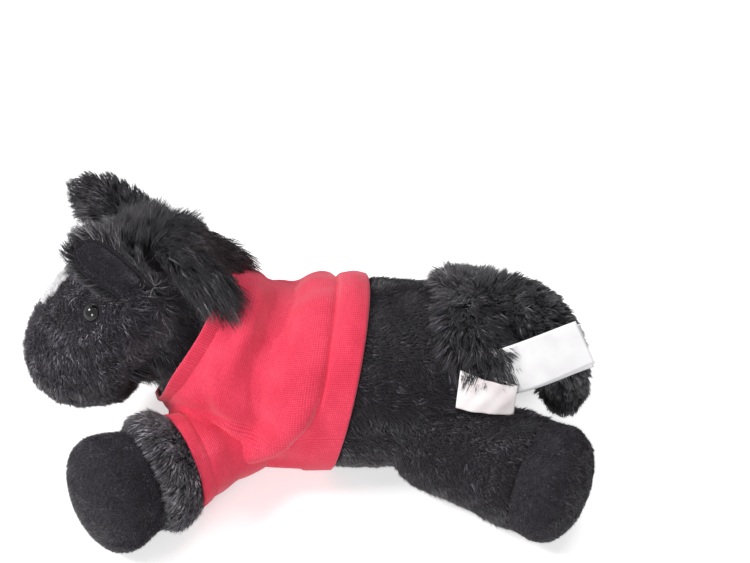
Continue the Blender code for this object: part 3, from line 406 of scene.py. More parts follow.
def growPile(name, skin, pile, comb, material, body, keep=None):
    # closed three-sided strands, sampled evenly over the skin and combed along it
    pile = {**usualPile, **pile}
    rng = np.random.default_rng(pile["seed"])
    mesh = skin.data
    mesh.calc_loop_triangles()
    corners = np.empty(len(mesh.loop_triangles) * 3, dtype=np.int64)
    mesh.loop_triangles.foreach_get("vertices", corners)
    corners = corners.reshape(-1, 3)
    co = readPoints(mesh)
    normals = readNormals(mesh)
    a, b, c = co[corners[:, 0]], co[corners[:, 1]], co[corners[:, 2]]
    area = np.linalg.norm(np.cross(b - a, c - a), axis=1) / 2
    count = int(area.sum() / mm ** 2 * pile["density"])
    pick = rng.choice(len(corners), size=count, p=area / area.sum())
    r1, r2 = np.sqrt(rng.random(count)), rng.random(count)
    weights = np.stack((1 - r1, r1 * (1 - r2), r1 * r2), axis=1)
    roots = sum(weights[:, i:i + 1] * co[corners[pick, i]] for i in range(3))
    ways = unit(sum(weights[:, i:i + 1] * normals[corners[pick, i]] for i in range(3)))
    if keep is not None:
        kept = keep(roots / mm, ways)
        roots, ways = roots[kept], ways[kept]
    count = len(roots)
    flow = comb(roots / mm, ways)
    flow = unit(flow - ways * np.sum(flow * ways, axis=1, keepdims=True))
    side = np.cross(ways, flow)
    sway = softNoise(roots, pile["swirl"] * mm, pile["seed"] + 1) * pile["sway"] + rng.normal(0, pile["stray"], count)
    flow = flow * np.cos(sway)[:, None] + side * np.sin(sway)[:, None]
    side = np.cross(ways, flow)
    leanRoot, leanTip = (np.radians(x + rng.normal(0, pile["ruffle"], count)) for x in pile["lean"])
    start = ways * np.cos(leanRoot)[:, None] + flow * np.sin(leanRoot)[:, None]
    end = ways * np.cos(leanTip)[:, None] + flow * np.sin(leanTip)[:, None]
    end[:, 2] -= pile["sag"]
    end = unit(end)
    # broad patches: the strands there grow longer and are drawn paler, a painted sheen
    patch = softNoise(roots, pile["patch"] * mm, pile["seed"] + 2)
    length = pile["length"] * mm * rng.uniform(*pile["lengths"], count) * (1 + 0.2 * patch)
    if "grow" in pile:
        length = length * pile["grow"](roots / mm)
    clumps = pile.get("clump")
    levels = 2 if clumps else 1
    shares = np.linspace(0, 1, levels + 1)
    spine = [roots - start * pile["rooted"] * mm]
    for t in shares[1:]:
        spine.append(roots + length[:, None] * (start * t + (end - start) * t * t / 2))
    if clumps:
        leaders = rng.choice(count, size=max(1, int(count / clumps[0])), replace=False)
        tree = KDTree(len(leaders))
        for i, leader in enumerate(leaders):
            tree.insert(roots[leader], i)
        tree.balance()
        nearest = leaders[np.array([tree.find(root)[1] for root in roots])]
        for i, t in enumerate(shares[1:], 1):
            pull = clumps[1] * t
            spine[i] = spine[i] * (1 - pull) + spine[i][nearest] * pull
    verts = []
    width = pile["width"] * mm / 2 * rng.uniform(*pile["widths"], count)
    for i, t in enumerate(shares[:-1]):
        way = unit(spine[i + 1] - spine[i])
        flat = unit(side - way * np.sum(side * way, axis=1, keepdims=True))
        other = np.cross(way, flat)
        radius = (width * (1 - t) ** pile["taper"])[:, None]
        for j in range(3):
            angle = 2 * math.pi * j / 3
            verts.append(spine[i] + radius * (flat * math.cos(angle) + other * math.sin(angle)))
    verts.append(spine[-1])
    perStrand = len(verts)
    points = np.stack(verts, axis=1).reshape(-1, 3)
    points[:, 2] = np.maximum(points[:, 2], pile["lowest"] * mm)
    faces = [(0, 2, 1)]
    for i in range(levels - 1):
        for j in range(3):
            k = (j + 1) % 3
            faces += [(3 * i + j, 3 * i + k, 3 * i + 3 + k), (3 * i + j, 3 * i + 3 + k, 3 * i + 3 + j)]
    top = 3 * (levels - 1)
    faces += [(top + j, top + (j + 1) % 3, perStrand - 1) for j in range(3)]
    faces = np.array(faces)
    index = (np.arange(count)[:, None, None] * perStrand + faces[None]).reshape(-1)
    made = bpy.data.meshes.new(name)
    made.vertices.add(len(points))
    made.vertices.foreach_set("co", points.astype(np.float32).ravel())
    made.loops.add(len(index))
    made.loops.foreach_set("vertex_index", index.astype(np.int32))
    made.polygons.add(len(index) // 3)
    made.polygons.foreach_set("loop_start", np.arange(0, len(index), 3, dtype=np.int32))
    made.update(calc_edges=True)
    # random tone for each strand, raised in the patches as painted sheen
    shade = np.clip(rng.random(count) ** pile["dark"] + 0.12 * patch, 0, 1)
    reach = np.append(np.repeat(shares[:-1], 3), 1.0)
    for label, values in (("shade", np.repeat(shade, perStrand)), ("reach", np.tile(reach, count))):
        made.attributes.new(label, "FLOAT", "POINT").data.foreach_set("value", values.astype(np.float32))
    piece = linkPiece(name, made)
    takeUp(piece)
    bpy.ops.object.shade_smooth()
    settle(piece, body, material)
    print(name, count, "strands", len(faces) * count, "triangles")


def combTowards(*way):
    way = np.array(way, float)
    return lambda points, ways: np.tile(way, (len(points), 1))


torso = {
    "origin": (101.464, 49.5), "steps": (-170, 50), "halfWidth": 49, "halfHeight": 50, "belly": 0.78, "floor": 1.6,
    "rings": ((0.020, 0.10, 0.38, 0.34, 0), (0.060, 0.06, 0.66, 0.61, 0), (0.130, -0.02, 0.86, 0.80, 0),
              (0.240, -0.08, 0.96, 0.89, 0), (0.380, -0.08, 1.00, 0.92, 0), (0.520, -0.08, 1.00, 0.92, 0),
              (0.640, -0.12, 0.97, 0.89, 0), (0.750, -0.05, 0.94, 0.90, 6), (0.850, 0.14, 0.88, 0.86, 20),
              (0.925, 0.37, 0.74, 0.72, 33), (0.965, 0.46, 0.50, 0.50, 34)),
    "poles": ((0.0, 0.10), (0.985, 0.50)),
}
hem = {"point": (0, 20.714, 49.5), "lean": 14}
collar = {"centre": (0, -55.786, 69.0), "lean": 33, "radius": 39.06}


def ahead(points, plane, degrees):
    # signed distance ahead of a leaning plane
    return (points - np.array(plane)) @ lean(degrees)[0]


bodyForm = ringForm(torso)
bodyForm["belly"], bodyForm["floor"] = torso["belly"], torso["floor"]
torsoSkin = ballForm("torsoSkin", bodyForm, 112, 120)
settle(torsoSkin, "torso", blackBacking, ["torso_cover"])


def bareTorso(points, ways):
    behind = ahead(points, hem["point"], hem["lean"]) < -0.5
    front = ahead(points, collar["centre"], collar["lean"]) > 2
    return behind | front


torsoPile = {"density": 1.5, "length": 4.0, "width": 0.64, "lean": (44, 72), "sway": 0.7, "swirl": 18, "seed": 11, "dark": 1.6}
growPile("torsoPile", torsoSkin, torsoPile, combTowards(0, 1, -0.45), blackPile, "torso", bareTorso)
print("torso done")


neck = {"pivot": (0, -48.476, 72.0), "headPivot": (0, -76.326, 91.5), "radius": 25.5, "rise": 35, "throat": 4.5}
head = {
    "origin": neck["headPivot"][1:], "steps": (-66, 66), "halfWidth": 40.5, "halfHeight": 36.5,
    "rings": ((-0.08, -0.10, 0.73, 0.82, 24), (0.05, -0.06, 0.91, 0.95, 14), (0.22, -0.13, 1.00, 1.00, 0),
              (0.38, -0.25, 1.00, 0.99, -14), (0.53, -0.37, 0.93, 0.93, -26), (0.65, -0.47, 0.84, 0.83, -33),
              (0.75, -0.56, 0.74, 0.73, -37), (0.83, -0.63, 0.62, 0.60, -38), (0.885, -0.68, 0.42, 0.40, -38)),
    "poles": ((-0.30, -0.16), (0.91, -0.70)),
}
eyes = {
    "left": ((30.0, -99.026, 102.37), (0.7915, -0.2878, 0.5391)), "right": ((-30.07, -99.036, 102.42), (-0.7655, -0.303, 0.5676)),
    "radius": 4.3, "dome": 3.0, "seat": 0.6,
}
blaze = {
    "centre": (0, -129.856, 102.72), "up": (0, -0.7431, 0.6691), "halfWidth": 10, "length": 30,
    "outline": ((0, 0.50), (-0.45, 0.30), (-0.55, 0.12), (-1, 0.08), (-0.75, -0.12), (-0.80, -0.25), (-0.35, -0.38),
                (0, -0.50), (0.40, -0.36), (0.85, -0.22), (0.72, -0.06), (1, 0.10), (0.52, 0.18), (0.42, 0.32)),
}

neckForward, neckUp = lean(neck["rise"])
neckStart, neckEnd = np.array(neck["pivot"]), np.array(neck["headPivot"])
neckRows = capRows(neckStart, neckForward, neckUp, neck["radius"], (25, 50, 75, 90))
for angle in (90, 75, 50, 25):
    # this end sinks with the throat
    turn = math.radians(angle)
    size, sunk = neck["radius"] * math.sin(turn), neck["throat"] * math.sin(turn)
    centre = neckEnd - neckUp * neck["throat"] * math.sin(turn) + neckForward * neck["radius"] * math.cos(turn)
    neckRows.append((centre, neckUp, size, size + sunk))
neckForm = makeForm(neckRows, neckStart - neckForward * neck["radius"], neckEnd + neckForward * neck["radius"])
neckSkin = ballForm("neckSkin", neckForm, 72, 64)
settle(neckSkin, "neck", blackBacking, ["neck_cover"])
neckPile = {"density": 1.9, "length": 6.5, "width": 0.64, "lean": (55, 70), "sway": 0.5, "seed": 21, "dark": 2.2}


def bareNeck(points, ways):
    return (ahead(points, collar["centre"], collar["lean"]) > -2) & ((points - neckEnd) @ neckForward < 6)


growPile("neckPile", neckSkin, neckPile, combTowards(0, 0.8, -0.6), blackPile, "neck", bareNeck)
headSkin = ballForm("headSkin", ringForm(head), 96, 110)
settle(headSkin, "head", blackBacking, ["head_cover"])


def inBlaze(points):
    # inside the jagged patch, looking square at the forehead
    centre, up = np.array(blaze["centre"]), np.array(blaze["up"])
    along = np.cross(up, sideways)
    x = (points - centre) @ sideways / blaze["halfWidth"]
    y = (points - centre) @ along / blaze["length"]
    inside = np.zeros(len(points), dtype=bool)
    corners = blaze["outline"]
    for (x0, y0), (x1, y1) in zip(corners, corners[1:] + corners[:1]):
        crosses = (y0 > y) != (y1 > y)
        inside ^= crosses & (x < (x1 - x0) * (y - y0) / (y1 - y0 if y1 != y0 else 1e-9) + x0)
    return inside & ((points - centre) @ up > -20)


def eyeDistance(points):
    return np.min([np.linalg.norm(points - np.array(eyes[side][0]), axis=1) for side in ("left", "right")], axis=0)


def faceLength(points):
    # brushed short round the eyes, long where the head runs into the mane
    short = smoothStep(5, 13, eyeDistance(points))
    return 0.35 + 0.65 * short + 1.5 * smoothStep(-90, -76, points[:, 1]) * smoothStep(86, 98, points[:, 2])


def bareHead(points, ways):
    return ~inBlaze(points) & (eyeDistance(points) >= eyes["radius"] + 1.0)


def headFlow(points, ways):
    # swept back from the nose, down the cheeks
    flow = np.tile(np.array((0.0, 0.85, -0.25)), (len(points), 1))
    flow[:, 0] = points[:, 0] * 0.008
    flow[:, 2] -= np.abs(points[:, 0]) * 0.008
    return flow


headPile = {"density": 1.7, "length": 3.8, "width": 0.58, "lean": (36, 66), "sway": 0.8, "swirl": 13, "seed": 31, "dark": 1.1,
            "stray": 0.45, "ruffle": 14, "grow": faceLength}
growPile("headPile", headSkin, headPile, headFlow, facePile, "head", bareHead)

throatPile = {"density": 1.8, "length": 17, "width": 0.7, "lean": (30, 70), "sway": 0.4, "seed": 39, "dark": 2.2,
              "clump": (12, 0.5), "sag": 0.5, "ruffle": 12}
growPile("throatPile", headSkin, throatPile, combTowards(0, 1, -0.3), blackPile, "head",
         lambda points, ways: (points[:, 1] > -88) & (points[:, 2] < 72) & (points[:, 2] > 50))
throatPile["seed"], throatPile["length"] = 40, 14
growPile("throatPileBelow", neckSkin, throatPile, combTowards(0, 1, -0.6), blackPile, "neck",
         lambda points, ways: bareNeck(points, ways) & (ways[:, 2] < -0.2))
pollPile = {"density": 4.0, "length": 22, "width": 0.6, "lean": (0, 40), "sway": 0.8, "swirl": 9, "seed": 37, "dark": 2.6,
            "clump": (20, 0.5), "sag": 0.05, "ruffle": 12}
growPile("pollPile", headSkin, pollPile, combTowards(0, 1, 0), longPile, "head",
         lambda points, ways: np.all(np.abs(points[:, :2] + (3, 78)) < (15, 12), axis=1) & (points[:, 2] > 108))

# the part of the head's skin inside the outline, lifted off it and given a thickness
blazePatch = linkPiece("blazePatch", headSkin.data.copy())
points, normals = readPoints(blazePatch.data), readNormals(blazePatch.data)
writePoints(blazePatch.data, points + normals * 0.3 * mm)
dropPoints(blazePatch, ~inBlaze(points / mm))
applyModifier(blazePatch, "SOLIDIFY", thickness=0.9 * mm, offset=0.0)
settle(blazePatch, "head", whiteBacking, ["blaze"])
blazePile = {"density": 3.4, "length": 4.6, "width": 0.6, "lean": (40, 70), "sway": 0.5, "seed": 35}
growPile("blazePile", headSkin, blazePile, headFlow, whitePile, "head", lambda points, ways: inBlaze(points))

for side in ("left", "right"):
    place, way = (np.array(x, float) for x in eyes[side])
    eye, ball = startPiece(f"{side}Eye", bpy.ops.mesh.primitive_uv_sphere_add, segments=48, ring_count=32, radius=1)
    first = unit(np.cross(way, upwards))
    second = np.cross(first, way)
    height = np.where(ball[:, 2] > 0, ball[:, 2] * eyes["dome"], ball[:, 2] * 1.6) + eyes["seat"]
    points = laidOut(place, (ball[:, 0] * eyes["radius"], first), (ball[:, 1] * eyes["radius"], second), (height, way))
    writePoints(eye.data, points * mm)
    tidyFaces(eye)
    settle(eye, "head", eyeBlack, [f"eye_{side}"])
    rim, ring = startPiece(f"{side}EyeRim", bpy.ops.mesh.primitive_torus_add,
                           major_segments=48, minor_segments=12, major_radius=1, minor_radius=0.5)
    ringTurn = np.arctan2(ring[:, 1], ring[:, 0])
    out = (np.hypot(ring[:, 0], ring[:, 1]) - 1) * 0.7 + eyes["radius"] + 0.05
    points = laidOut(place, (out * np.cos(ringTurn), first), (out * np.sin(ringTurn), second), (ring[:, 2] * 0.9 + 0.75, way))
    writePoints(rim.data, points * mm)
    tidyFaces(rim)
    settle(rim, "head", eyeRim)
    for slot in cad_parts[f"eye_washer_{side}"].material_slots:
        slot.material = washerWhite
print("head done")


ears = {
    "left": {"at": (23.5, -75.5, 112.0), "out": (0.93, -0.20, 0.30), "tip": (21.5, -102.0, 137.0)},
    "right": {"at": (-23.5, -75.5, 113.0), "out": (-0.90, -0.12, -0.30), "tip": (-18.0, -110.5, 143.5)},
    "halfWidth": 12.6, "thick": 2.2, "cup": 4.5, "fullness": (0.62, 0.50),
}


def earFrame(side):
    # the ear's own directions: its length, the way its hollow faces and the line across it
    ear = ears[side]
    root, tip = np.array(ear["at"]), np.array(ear["tip"])
    length = unit(tip - root)
    hollow = np.array(ear["out"])
    hollow = unit(hollow - length * (hollow @ length))
    return root, length, hollow, np.cross(hollow, length), float(np.linalg.norm(tip - root))


def earLeaf(name, side, inset, thick, lift, startAt):
    # a grid drawn into a cupped leaf, pinched at its root and broad towards its tip
    root, length, hollow, across, long = earFrame(side)
    leaf, sheet = startPiece(name, bpy.ops.mesh.primitive_grid_add, x_subdivisions=16, y_subdivisions=26, size=2)
    along = startAt + (long - inset - startAt) * np.sin((sheet[:, 1] + 1) / 2 * math.pi / 2)
    true = np.clip(along / long, 0, 1)
    first, more = ears["fullness"]
    half = ears["halfWidth"] * np.sqrt(np.maximum(0, 1 - true ** 3.4)) * (first + more * true)
    half = np.maximum(half - inset, 0.6)
    sideStep = sheet[:, 0] * half
    cup = (sideStep / ears["halfWidth"]) ** 2 + 0.8 * (1 - true) ** 2 * np.abs(sheet[:, 0]) + 0.5 * true ** 2
    points = laidOut(root, (sideStep, across), (ears["cup"] * cup + lift, hollow), (along, length))
    writePoints(leaf.data, points * mm)
    applyModifier(leaf, "SOLIDIFY", thickness=thick * mm, offset=0.0)
    applyModifier(leaf, "SUBSURF", levels=1, render_levels=1)
    tidyFaces(leaf)
    return leaf


earPile = {"density": 4.4, "length": 9.0, "width": 0.5, "lean": (35, 68), "sway": 0.5, "seed": 41, "dark": 1.2,
           "clump": (14, 0.4)}
napPile = {"density": 5.0, "length": 1.6, "width": 0.48, "lean": (30, 58), "sway": 0.7, "swirl": 7, "seed": 43}
for side, body in (("left", "ear_l"), ("right", "ear_r")):
    root, length, hollow, across, long = earFrame(side)
    back = earLeaf(f"{side}EarBack", side, 0.0, ears["thick"], 0.0, -3.0)
    settle(back, body, blackBacking, [f"ear_{side}"])
    lining = earLeaf(f"{side}EarLining", side, 2.6, 0.8, 1.35, 4.0)
    settle(lining, body, hoofBacking, [f"ear_lining_{side}"])

    def earFlow(points, ways):
        # out towards the tip and the rim
        return length * 0.8 + np.outer((points - root) @ across, across) * 0.04

    growPile(f"{side}EarPile", back, earPile, earFlow, longPile, body,
             lambda points, ways: ways @ hollow < 0.7)
    growPile(f"{side}EarNap", lining, napPile, combTowards(*length), liningPile, body,
             lambda points, ways: ways @ hollow > 0.3)
print("ears done")


mane = {
    "origin": (neck["headPivot"][1], neck["pivot"][2]), "steps": (49, 48.5), "halfWidth": 17, "halfHeight": 10,
    "rings": ((0.16, 1.02, 0.55, 0.55, 0), (0.26, 1.02, 0.85, 0.90, 0), (0.42, 0.95, 1, 1, 0),
              (0.54, 0.83, 1, 0.85, 0), (0.63, 0.72, 1, 0.6, 0), (0.71, 0.62, 0.85, 0.42, 0)),
    "poles": ((0.10, 1.00), (0.76, 0.58)),
}
maneCore = ballForm("maneCore", ringForm(mane), 48, 40)
settle(maneCore, "neck", blackBacking, ["mane"])
manePile = {"density": 3.9, "length": 11, "width": 0.58, "lean": (30, 80), "sway": 0.45, "swirl": 12, "seed": 51, "dark": 1.3,
            "clump": (20, 0.6), "sag": 0.35, "ruffle": 18}


def maneFlow(points, ways):
    # back along the crest, then down over both shoulders
    back = smoothStep(-66, -38, points[:, 1])
    out = np.abs(ways[:, 0])
    return np.stack((np.sign(points[:, 0]) * (0.15 + 0.5 * out), 1 - 0.35 * back, 0.1 - back - 0.5 * out), axis=1)


def maneLength(points):
    # longest low on the sides, where it lies over the shirt
    low, rear = smoothStep(124, 106, points[:, 2]), smoothStep(-66, -50, points[:, 1])
    return 0.85 + 0.35 * smoothStep(-50, -70, points[:, 1]) + 1.6 * low * rear * smoothStep(4, 12, np.abs(points[:, 0]))


manePile["grow"] = maneLength
growPile("manePile", maneCore, manePile, maneFlow, longPile, "neck", lambda points, ways: ways[:, 2] > -0.8)

forelock = {
    "origin": (-79.626, 119.22), "steps": (-34, 34), "halfWidth": 10, "halfHeight": 6,
    "rings": ((0.12, 0.10, 0.55, 0.60, 0), (0.35, 0.10, 1, 1, 0), (0.62, 0, 0.95, 0.90, 0), (0.86, -0.22, 0.55, 0.50, 0)),
    "poles": ((0, 0), (1.0, -0.34)),
}
forelockCore = ballForm("forelockCore", ringForm(forelock), 36, 30)
settle(forelockCore, "head", blackBacking, ["forelock"])
forelockPile = {"density": 3.4, "length": 10, "width": 0.55, "lean": (35, 70), "sway": 0.5, "swirl": 9, "seed": 61, "dark": 1.5,
                "clump": (16, 0.5), "sag": 0.2, "ruffle": 12}
growPile("forelockPile", forelockCore, forelockPile, combTowards(0, -1, -0.1), longPile, "head",
         lambda points, ways: ways[:, 2] > -0.4)

tail = {
    "origin": (81.404, 77.5), "steps": (56, 56), "halfWidth": 23, "halfHeight": 12.5,
    "rings": ((0.16, 0.12, 0.42, 0.70, -26), (0.36, 0.15, 0.66, 0.84, 6), (0.58, 0.03, 0.95, 1, 36), (0.78, -0.20, 1, 1, 60),
              (0.90, -0.50, 0.95, 0.96, 78), (0.95, -0.79, 0.72, 0.80, 87), (0.95, -0.94, 0.42, 0.46, 90)),
    "poles": ((-0.15, 0), (0.945, -1.02)),
}
tailCore = ballForm("tailCore", ringForm(tail), 64, 56)
settle(tailCore, "tail_body", blackBacking, ["tail"])


def tailFlow(points, ways):
    # back over the rump, then down the hind legs
    share = smoothStep(tail["origin"][0] + 10, tail["origin"][0] + 45, points[:, 1])
    return np.stack((points[:, 0] * 0.01, 1 - share * 0.8, 0.15 - share * 1.1), axis=1)


def tailLength(points):
    return 0.6 + 0.8 * smoothStep(tail["origin"][0] + 32, tail["origin"][0] + 6, points[:, 1])


tailPile = {"density": 1.5, "length": 9.5, "width": 0.66, "lean": (20, 58), "sway": 0.5, "swirl": 14, "seed": 71, "dark": 1.1,
            "clump": (18, 0.55), "sag": 0.1, "ruffle": 16, "grow": tailLength}
growPile("tailPile", tailCore, tailPile, tailFlow, longPile, "tail_body", None)
tuftPile = {"density": 4.5, "length": 14, "width": 0.5, "lean": (0, 45), "sway": 0.6, "swirl": 8, "seed": 73, "dark": 1.2,
            "clump": (26, 0.55), "sag": 0.0, "ruffle": 14}
growPile("tailTuft", tailCore, tuftPile, combTowards(0, -1, 0.3), longPile, "tail_body",
         lambda points, ways: (points[:, 1] < 88) & (ways[:, 2] > -0.1))
# the long hair of the dock falls over both sides of the rump
lobe = {
    "rows": ((4, 79, 91, 9, 5), (15, 80, 87, 13, 6), (26, 83, 79, 16, 7), (32, 85, 70, 14, 6.5), (34, 86, 65, 9, 4.5)),
    "start": (-3, 79, 91), "end": (34.5, 86, 61), "seed": 75,
}
lobePile = {"density": 2.4, "length": 11, "width": 0.64, "lean": (25, 66), "sway": 0.5, "swirl": 10, "dark": 1.2,
            "clump": (18, 0.5), "sag": 0.1, "ruffle": 14}
for name, side in (("leftLobe", 1), ("rightLobe", -1)):
    mirror = np.array((side, 1, 1))
    out = np.array((0.62 * side, -0.05, 0.78))
    rows = [(np.array(row[:3]) * mirror, out, row[3], row[4]) for row in lobe["rows"]]
    form = makeForm(rows, np.array(lobe["start"]) * mirror, np.array(lobe["end"]) * mirror, np.array((0.0, 1.0, 0.0)))
    core = ballForm(name + "Core", form, 40, 36)
    settle(core, "tail_body", blackBacking)
    lobePile["seed"] = lobe["seed"] + side
    growPile(name + "Pile", core, lobePile, lambda points, ways: np.array((side * 0.4, 0, -1)) + ways * (0, 0.5, 0),
             longPile, "tail_body", None)
print("mane and tail done")


legShape = {
    "hoofWide": 29, "hoofHigh": 27.5, "soleEdge": 15, "floor": 1.2,
    "girths": ((0.30, 0.03), (0.64, 0.30), (0.76, 0.90), (0.92, 1.00), (1.00, 0.44)),
    "hoofGirths": ((0.0, 0.0), (0.35, 0.60), (1.0, 1.0)),
}
legs = {}
for end, x, y, wayX, wayY, ball, reach, seam in (("front", 29.89, -34.536, 0.5948, -0.8039, 19, 88, 53.68),
                                                 ("hind", 33.81, 67.464, 0.515, 0.8572, 26, 78, 49.9)):
    for side, sign in (("left", 1), ("right", -1)):
        legs[end + side.capitalize()] = {
            "root": np.array((sign * x, y, 27.0)), "way": np.array((sign * wayX, wayY, 0.0)),
            "ball": ball, "reach": reach, "seam": seam, "body": f"{end}_{side[0]}",
            "nodes": [f"{end}_{part}_{side}" for part in ("leg", "hoof", "leg_stuffing")],
        }


def legGirth(leg, along):
    marks = [0.0] + [mark * leg["seam"] for mark, _ in legShape["girths"]]
    sizes = [leg["ball"]] + [leg["ball"] + (legShape["hoofHigh"] - leg["ball"]) * growth for _, growth in legShape["girths"]]
    return np.interp(along, marks, sizes)


legPile = {"density": 2.3, "length": 5.6, "width": 0.55, "lean": (46, 74), "sway": 0.5, "swirl": 13, "seed": 81, "dark": 1.15,
           "clump": (8, 0.4), "sag": 0.25, "ruffle": 14}
hindPile = {"density": 1.8, "length": 4.2, "width": 0.6, "lean": (46, 72), "sway": 0.5, "swirl": 18, "seed": 91, "dark": 1.4}
hoofNap = {"density": 1.8, "length": 1.8, "width": 0.6, "lean": (30, 58), "sway": 0.9, "swirl": 9, "seed": 101, "dark": 1.3}
for number, (name, leg) in enumerate(legs.items()):
    root, way, body, seam, front = leg["root"], leg["way"], leg["body"], leg["seam"], name.startswith("front")
    across = np.cross(way, upwards)
    rows = capRows(root, way, upwards, leg["ball"], (35, 65, 90))
    for mark, _ in legShape["girths"]:
        # the skin is pressed in a little under the sleeve
        size = float(legGirth(leg, mark * seam)) - (1.2 if front and mark < 0.5 else 0)
        rows.append((root + way * mark * seam, upwards, size, size))
    seamSize = rows[-1][2]
    rows.append((root + way * (seam + 0.4), upwards, seamSize * 0.9, seamSize * 0.9))
    form = makeForm(rows, root - way * leg["ball"], root + way * (seam + 1.0), across)
    form["floor"] = legShape["floor"]
    skin = ballForm(name + "Skin", form, 72, 72)
    settle(skin, body, blackBacking, [leg["nodes"][0]])
    pile = dict(legPile if front else hindPile)
    pile["seed"] += number

    def bareLeg(points, ways):
        along = (points - root) @ way
        return (along > (31 if front else -24)) & (along < seam - 0.5) & (np.abs(points[:, 0]) > 19)

    growPile(name + "Pile", skin, pile, combTowards(*way[:2], -0.3), cuffPile if front else blackPile, body, bareLeg)
    rows = [(root + way * (seam + 0.1), upwards, seamSize * 0.86, seamSize * 0.86)]
    room = leg["reach"] - legShape["soleEdge"] - seam
    for mark, growth in legShape["hoofGirths"]:
        wide, high = (seamSize + (legShape[size] - seamSize) * growth for size in ("hoofWide", "hoofHigh"))
        rows.append((root + way * (seam + 0.4 + mark * room), upwards, wide, high))
    for angle in (25, 48, 68, 82):
        turn = math.radians(angle)
        out = leg["reach"] - legShape["soleEdge"] * (1 - math.sin(turn))
        rows.append((root + way * out, upwards, legShape["hoofWide"] * math.cos(turn), legShape["hoofHigh"] * math.cos(turn)))
    form = makeForm(rows, root + way * (seam - 0.4), root + way * leg["reach"], across)
    form["floor"] = legShape["floor"]
    hoof = ballForm(name + "Hoof", form, 72, 72)
    settle(hoof, body, hoofBacking, [leg["nodes"][1]])
    nap = dict(hoofNap)
    nap["seed"] += number
    growPile(name + "HoofNap", hoof, nap, combTowards(*way[:2], -0.5), hoofPile, body,
             lambda points, ways: (points - root) @ way > seam + 1)
print("legs done")


shirt = {
    "columns": 244, "rows": 80, "cloth": 0.9, "inner": 1.0, "outer": 2.9, "loose": 2.3, "closest": 0.95, "lowest": 0.55,
    "chartRadius": 47, "crumple": 24, "seed": 7, "creaseDepth": 1.8,
    # the overhang past the crease, and (degrees, more of it) on both sides
    "overhang": 0.9, "sides": ((2, 5.2), (178, 4.2)), "sideSpread": 46,
    # round the armhole a raised seam and a groove, as height, mm from the sleeve, half width
    "armhole": ((1.3, 1.8, 1.3), (-0.9, 5, 1.8)),
    # folds as (degrees, mm from hem) to (degrees, mm from hem), height, half width
    "folds": ((112, 41, 50, 49, -5.2, 4.2), (84, 58, 24, 64, 3.4, 5.2), (66, 34, 18, 38, 2.8, 5.5), (40, 52, 4, 44, -2.6, 4.0),
              (24, 72, -2, 62, 2.2, 4.5), (60, 30, 5, 34, 1.6, 7.0), (-5, 76, -42, 50, 2.4, 6.0), (12, 60, -38, 44, 1.8, 5.0),
              (100, 48, 150, 56, -2.4, 5.5), (110, 30, 165, 36, 1.8, 7.0), (150, 66, 205, 50, 2.2, 6.0),
              (130, 24, 190, 26, 1.4, 6.0), (70, 78, 30, 84, 1.6, 5.0), (110, 78, 150, 84, 1.6, 5.0)),
    # the crease under the overhang, as (degrees, mm from hem)
    "crease": ((-90, 60), (-63, 56), (-40, 50), (-24, 43), (-12, 34), (-3, 27), (9, 20), (24, 17), (36, 16.5), (90, 16.5),
               (144, 16.5), (156, 17), (171, 20), (183, 27), (192, 34), (204, 43), (220, 50), (243, 56), (270, 60)),
}
# points of one seam, in metres apart, that are joined
weld = 0.00002


def tubeGrid(name, columns, rows):
    # a grid whose columns go round, as two arrays of shares; its ends are merged afterwards
    piece, sheet = startPiece(name, bpy.ops.mesh.primitive_grid_add, x_subdivisions=columns, y_subdivisions=rows, size=2)
    return piece, (sheet[:, 0] + 1) / 2, (sheet[:, 1] + 1) / 2


def clothChart(piece, across, along):
    # UV map in units of 100 mm of cloth
    layer = piece.data.uv_layers.new(name="cloth")
    corner = np.empty(len(piece.data.loops), dtype=np.int64)
    piece.data.loops.foreach_get("vertex_index", corner)
    layer.data.foreach_set("uv", (np.stack((across, along), axis=1)[corner] / 100).astype(np.float32).ravel())
    piece.data.uv_layers.active = layer


def printArea(piece):
    # one face of the cloth
    print(piece.name, "area", sum(face.area for face in piece.data.polygons) / 2)


def hump(value, middle, half):
    return np.exp(-((value - middle) / half) ** 2)


def ridge(x, y, x0, y0, x1, y1, half):
    t = np.clip(((x - x0) * (x1 - x0) + (y - y0) * (y1 - y0)) / ((x1 - x0) ** 2 + (y1 - y0) ** 2), 0, 1)
    away = np.hypot(x - x0 - t * (x1 - x0), y - y0 - t * (y1 - y0))
    return hump(away, 0, half) * (0.35 + 0.65 * np.sin(math.pi * np.clip(t, 0.06, 0.94)))


def sleeveRadius(leg, along):
    return legGirth(leg, along) + 1.9 + 0.9 * smoothStep(10, 35, along)


def fromAxis(leg, points):
    # how far along the leg, and the way out from its axis
    along = (points - leg["root"]) @ leg["way"]
    return along, points - leg["root"] - along[:, None] * leg["way"]


shirtBody, roundShare, rowShare = tubeGrid("shirtBody", shirt["columns"], shirt["rows"])
turn = roundShare * 2 * math.pi - math.pi / 2
degrees = np.degrees(turn)
# for each column, the body's surface from hem to collar, as mm run and share of the form
fineShare = np.linspace(0.02, 0.999, 500)
turns = np.unique(np.round(turn, 6))
runs, runShares = [], []
for angle in turns:
    line = surfaceAt(bodyForm, fineShare, np.full(len(fineShare), angle))
    toHem, toCollar = ahead(line, hem["point"], hem["lean"]), ahead(line, collar["centre"], collar["lean"])
    index = int(np.argmax(toHem > -5))
    first = np.interp(0, toHem[index:][:60], fineShare[index:][:60])
    index = int(np.argmax(toCollar > 0))
    last = fineShare[index] - (fineShare[1] - fineShare[0]) * toCollar[index] / (toCollar[index] - toCollar[index - 1])
    shares = np.linspace(first, last, 120)
    path = surfaceAt(bodyForm, shares, np.full(len(shares), angle))
    runs.append(np.concatenate(([0], np.cumsum(np.linalg.norm(np.diff(path, axis=0), axis=1)))))
    runShares.append(shares)
column = np.searchsorted(turns, np.round(turn, 6))
reach = np.array(runs)[:, -1][column]
